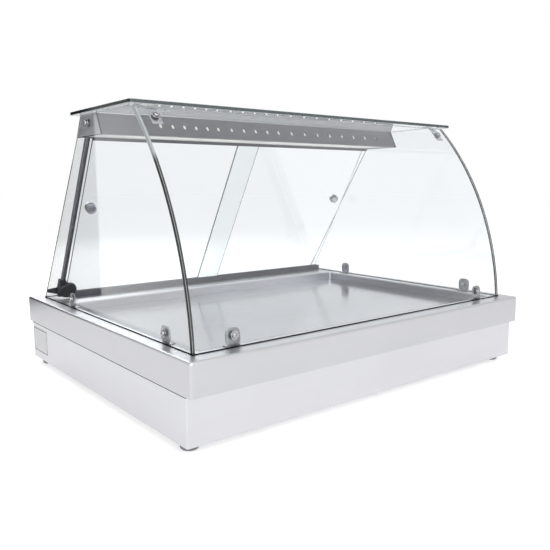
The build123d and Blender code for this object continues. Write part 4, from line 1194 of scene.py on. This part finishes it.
@dataclass
class Studio:
    """The floor, the light and the camera."""

    camera_place: tuple[float, float, float] = (-0.8239, -1.0563, 0.3773)
    heading: float = 38.41
    tilt: float = 8.14
    roll: float = -0.25
    lens_mm: float = 41.65
    sensor_mm: float = 36.0
    floor_side: float = 40.0
    floor_paint: str = "e6e6e6"
    floor_glow: float = 0.51
    card_paint: str = "303034"
    card_size: tuple[float, float] = (0.29, 0.805)
    card_place: tuple[float, float, float] = (-0.546, 0.75, 0.4475)
    mirrored_share: float = 0.4
    world_light: float = 0.62
    lamps: tuple[tuple[str, tuple[float, float, float], float, float], ...] = (
        ("key", (-0.5, -3.0, 2.1), 3.0, 58),
        ("corner", (-2.3, -2.1, 1.1), 1.2, 18),
        ("rear", (0.3, 2.4, 1.9), 1.6, 22),
    )

    def build(self) -> None:
        """Make the floor, the world, the lamps and the camera."""
        self.floor()
        self.dark_card()
        self.world()
        for name, place, size, power in self.lamps:
            self.lamp(name, place, size, power)
        self.camera()

    def floor(self) -> None:
        """Lay a white floor that keeps the case's shadow."""
        floor = start_sheet("studio_floor", (self.floor_side, self.floor_side), (0, 0, 0))
        material = bpy.data.materials.new("white_studio_floor")
        tree = empty_tree(material)
        paint = add_node(tree, "BsdfDiffuse", {"Color": linear(self.floor_paint)})
        share = add_node(tree, "MapRange", {"Value": self.seen_rays(tree), "To Max": self.floor_glow})
        glow = add_node(tree, "Emission", {"Strength": share})
        mixed = add_node(tree, "AddShader", {0: paint, 1: glow})
        add_node(tree, "OutputMaterial", {"Surface": mixed})
        floor.data.materials.append(material)

    def dark_card(self) -> None:
        """Stand a dark card behind the case's left side, seen only as a first mirror image in the glass."""
        card = start_sheet("dark_card", self.card_size, self.card_place, math.radians(90))
        material = bpy.data.materials.new("dark_card")
        tree = empty_tree(material)
        no_mirror, last_ray = 0.5, 3.5
        path = add_node(tree, "LightPath")
        mirrored = maths(tree, "GREATER_THAN", path.outputs["Glossy Depth"], no_mirror)
        first = maths(tree, "LESS_THAN", path.outputs["Ray Depth"], last_ray)
        shown = maths(tree, "MULTIPLY", mirrored, first)
        air = add_node(tree, "BsdfTransparent")
        paint = add_node(tree, "Emission", {"Color": linear(self.card_paint)})
        mixed = add_node(tree, "MixShader", {0: shown, 1: air, 2: paint})
        add_node(tree, "OutputMaterial", {"Surface": mixed})
        card.data.materials.append(material)
        card.visible_diffuse = False
        card.visible_shadow = False

    def seen_rays(self, tree: NodeTree) -> Node:
        """Tell the rays that show the surround from those that only light the case.

        Args:
            tree: The tree that the nodes go in.

        Returns:
            A node that gives 1 for rays from the camera and through glass, a share of it for mirrored
            ones, and else 0.
        """
        path = add_node(tree, "LightPath")
        mirrored = add_node(tree, "MapRange", {
            "Value": path.outputs["Is Glossy Ray"], "To Max": self.mirrored_share,
        })
        first = maths(tree, "MAXIMUM", path.outputs["Is Camera Ray"], mirrored)
        return maths(tree, "MAXIMUM", first, path.outputs["Is Transmission Ray"])

    def world(self) -> None:
        """Make a white surround that lights the case a little less than it shows."""
        world = bpy.data.worlds.new("white_studio")
        bpy.context.scene.world = world
        tree = empty_tree(world)
        strength = add_node(tree, "MapRange", {"Value": self.seen_rays(tree), "To Min": self.world_light})
        light = add_node(tree, "Background", {"Color": linear("ffffff"), "Strength": strength})
        add_node(tree, "OutputWorld", {"Surface": light})

    def lamp(self, name: str, place: tuple[float, float, float], size: float, power: float) -> None:
        """Hang a square soft lamp that points at the case.

        Args:
            name: The lamp's name.
            place: Where it hangs.
            size: Length of its side.
            power: Its power in watts.
        """
        data = bpy.data.lights.new(name, "AREA")
        data.shape, data.size, data.energy = "SQUARE", size, power
        lamp = bpy.data.objects.new(name, data)
        bpy.context.scene.collection.objects.link(lamp)
        lamp.location = place
        case_middle = Vector((0, 0, 0.25))
        lamp.rotation_euler = (case_middle - Vector(place)).to_track_quat("-Z", "Y").to_euler()

    def camera(self) -> None:
        """Set the camera where the photograph was taken from."""
        data = bpy.data.cameras.new("photo_camera")
        data.lens, data.sensor_width = self.lens_mm, self.sensor_mm
        camera = bpy.data.objects.new("photo_camera", data)
        bpy.context.scene.collection.objects.link(camera)
        camera.matrix_world = (
            Matrix.Translation(self.camera_place)
            @ Matrix.Rotation(math.radians(-self.heading), 4, "Z")
            @ Matrix.Rotation(math.radians(90 - self.tilt), 4, "X")
            @ Matrix.Rotation(math.radians(self.roll), 4, "Z")
        )
        bpy.context.scene.camera = camera


def main() -> None:
    """Build the case's pieces in order, then the studio."""
    bpy.context.scene.view_settings.view_transform = "Standard"
    hood = Hood()
    for part in (Base(), hood, Doors(hood), LampHousing(), Controls(), Studio()):
        log.info("building %s", type(part).__name__)
        part.build()


if __name__ == "__main__":
    main()
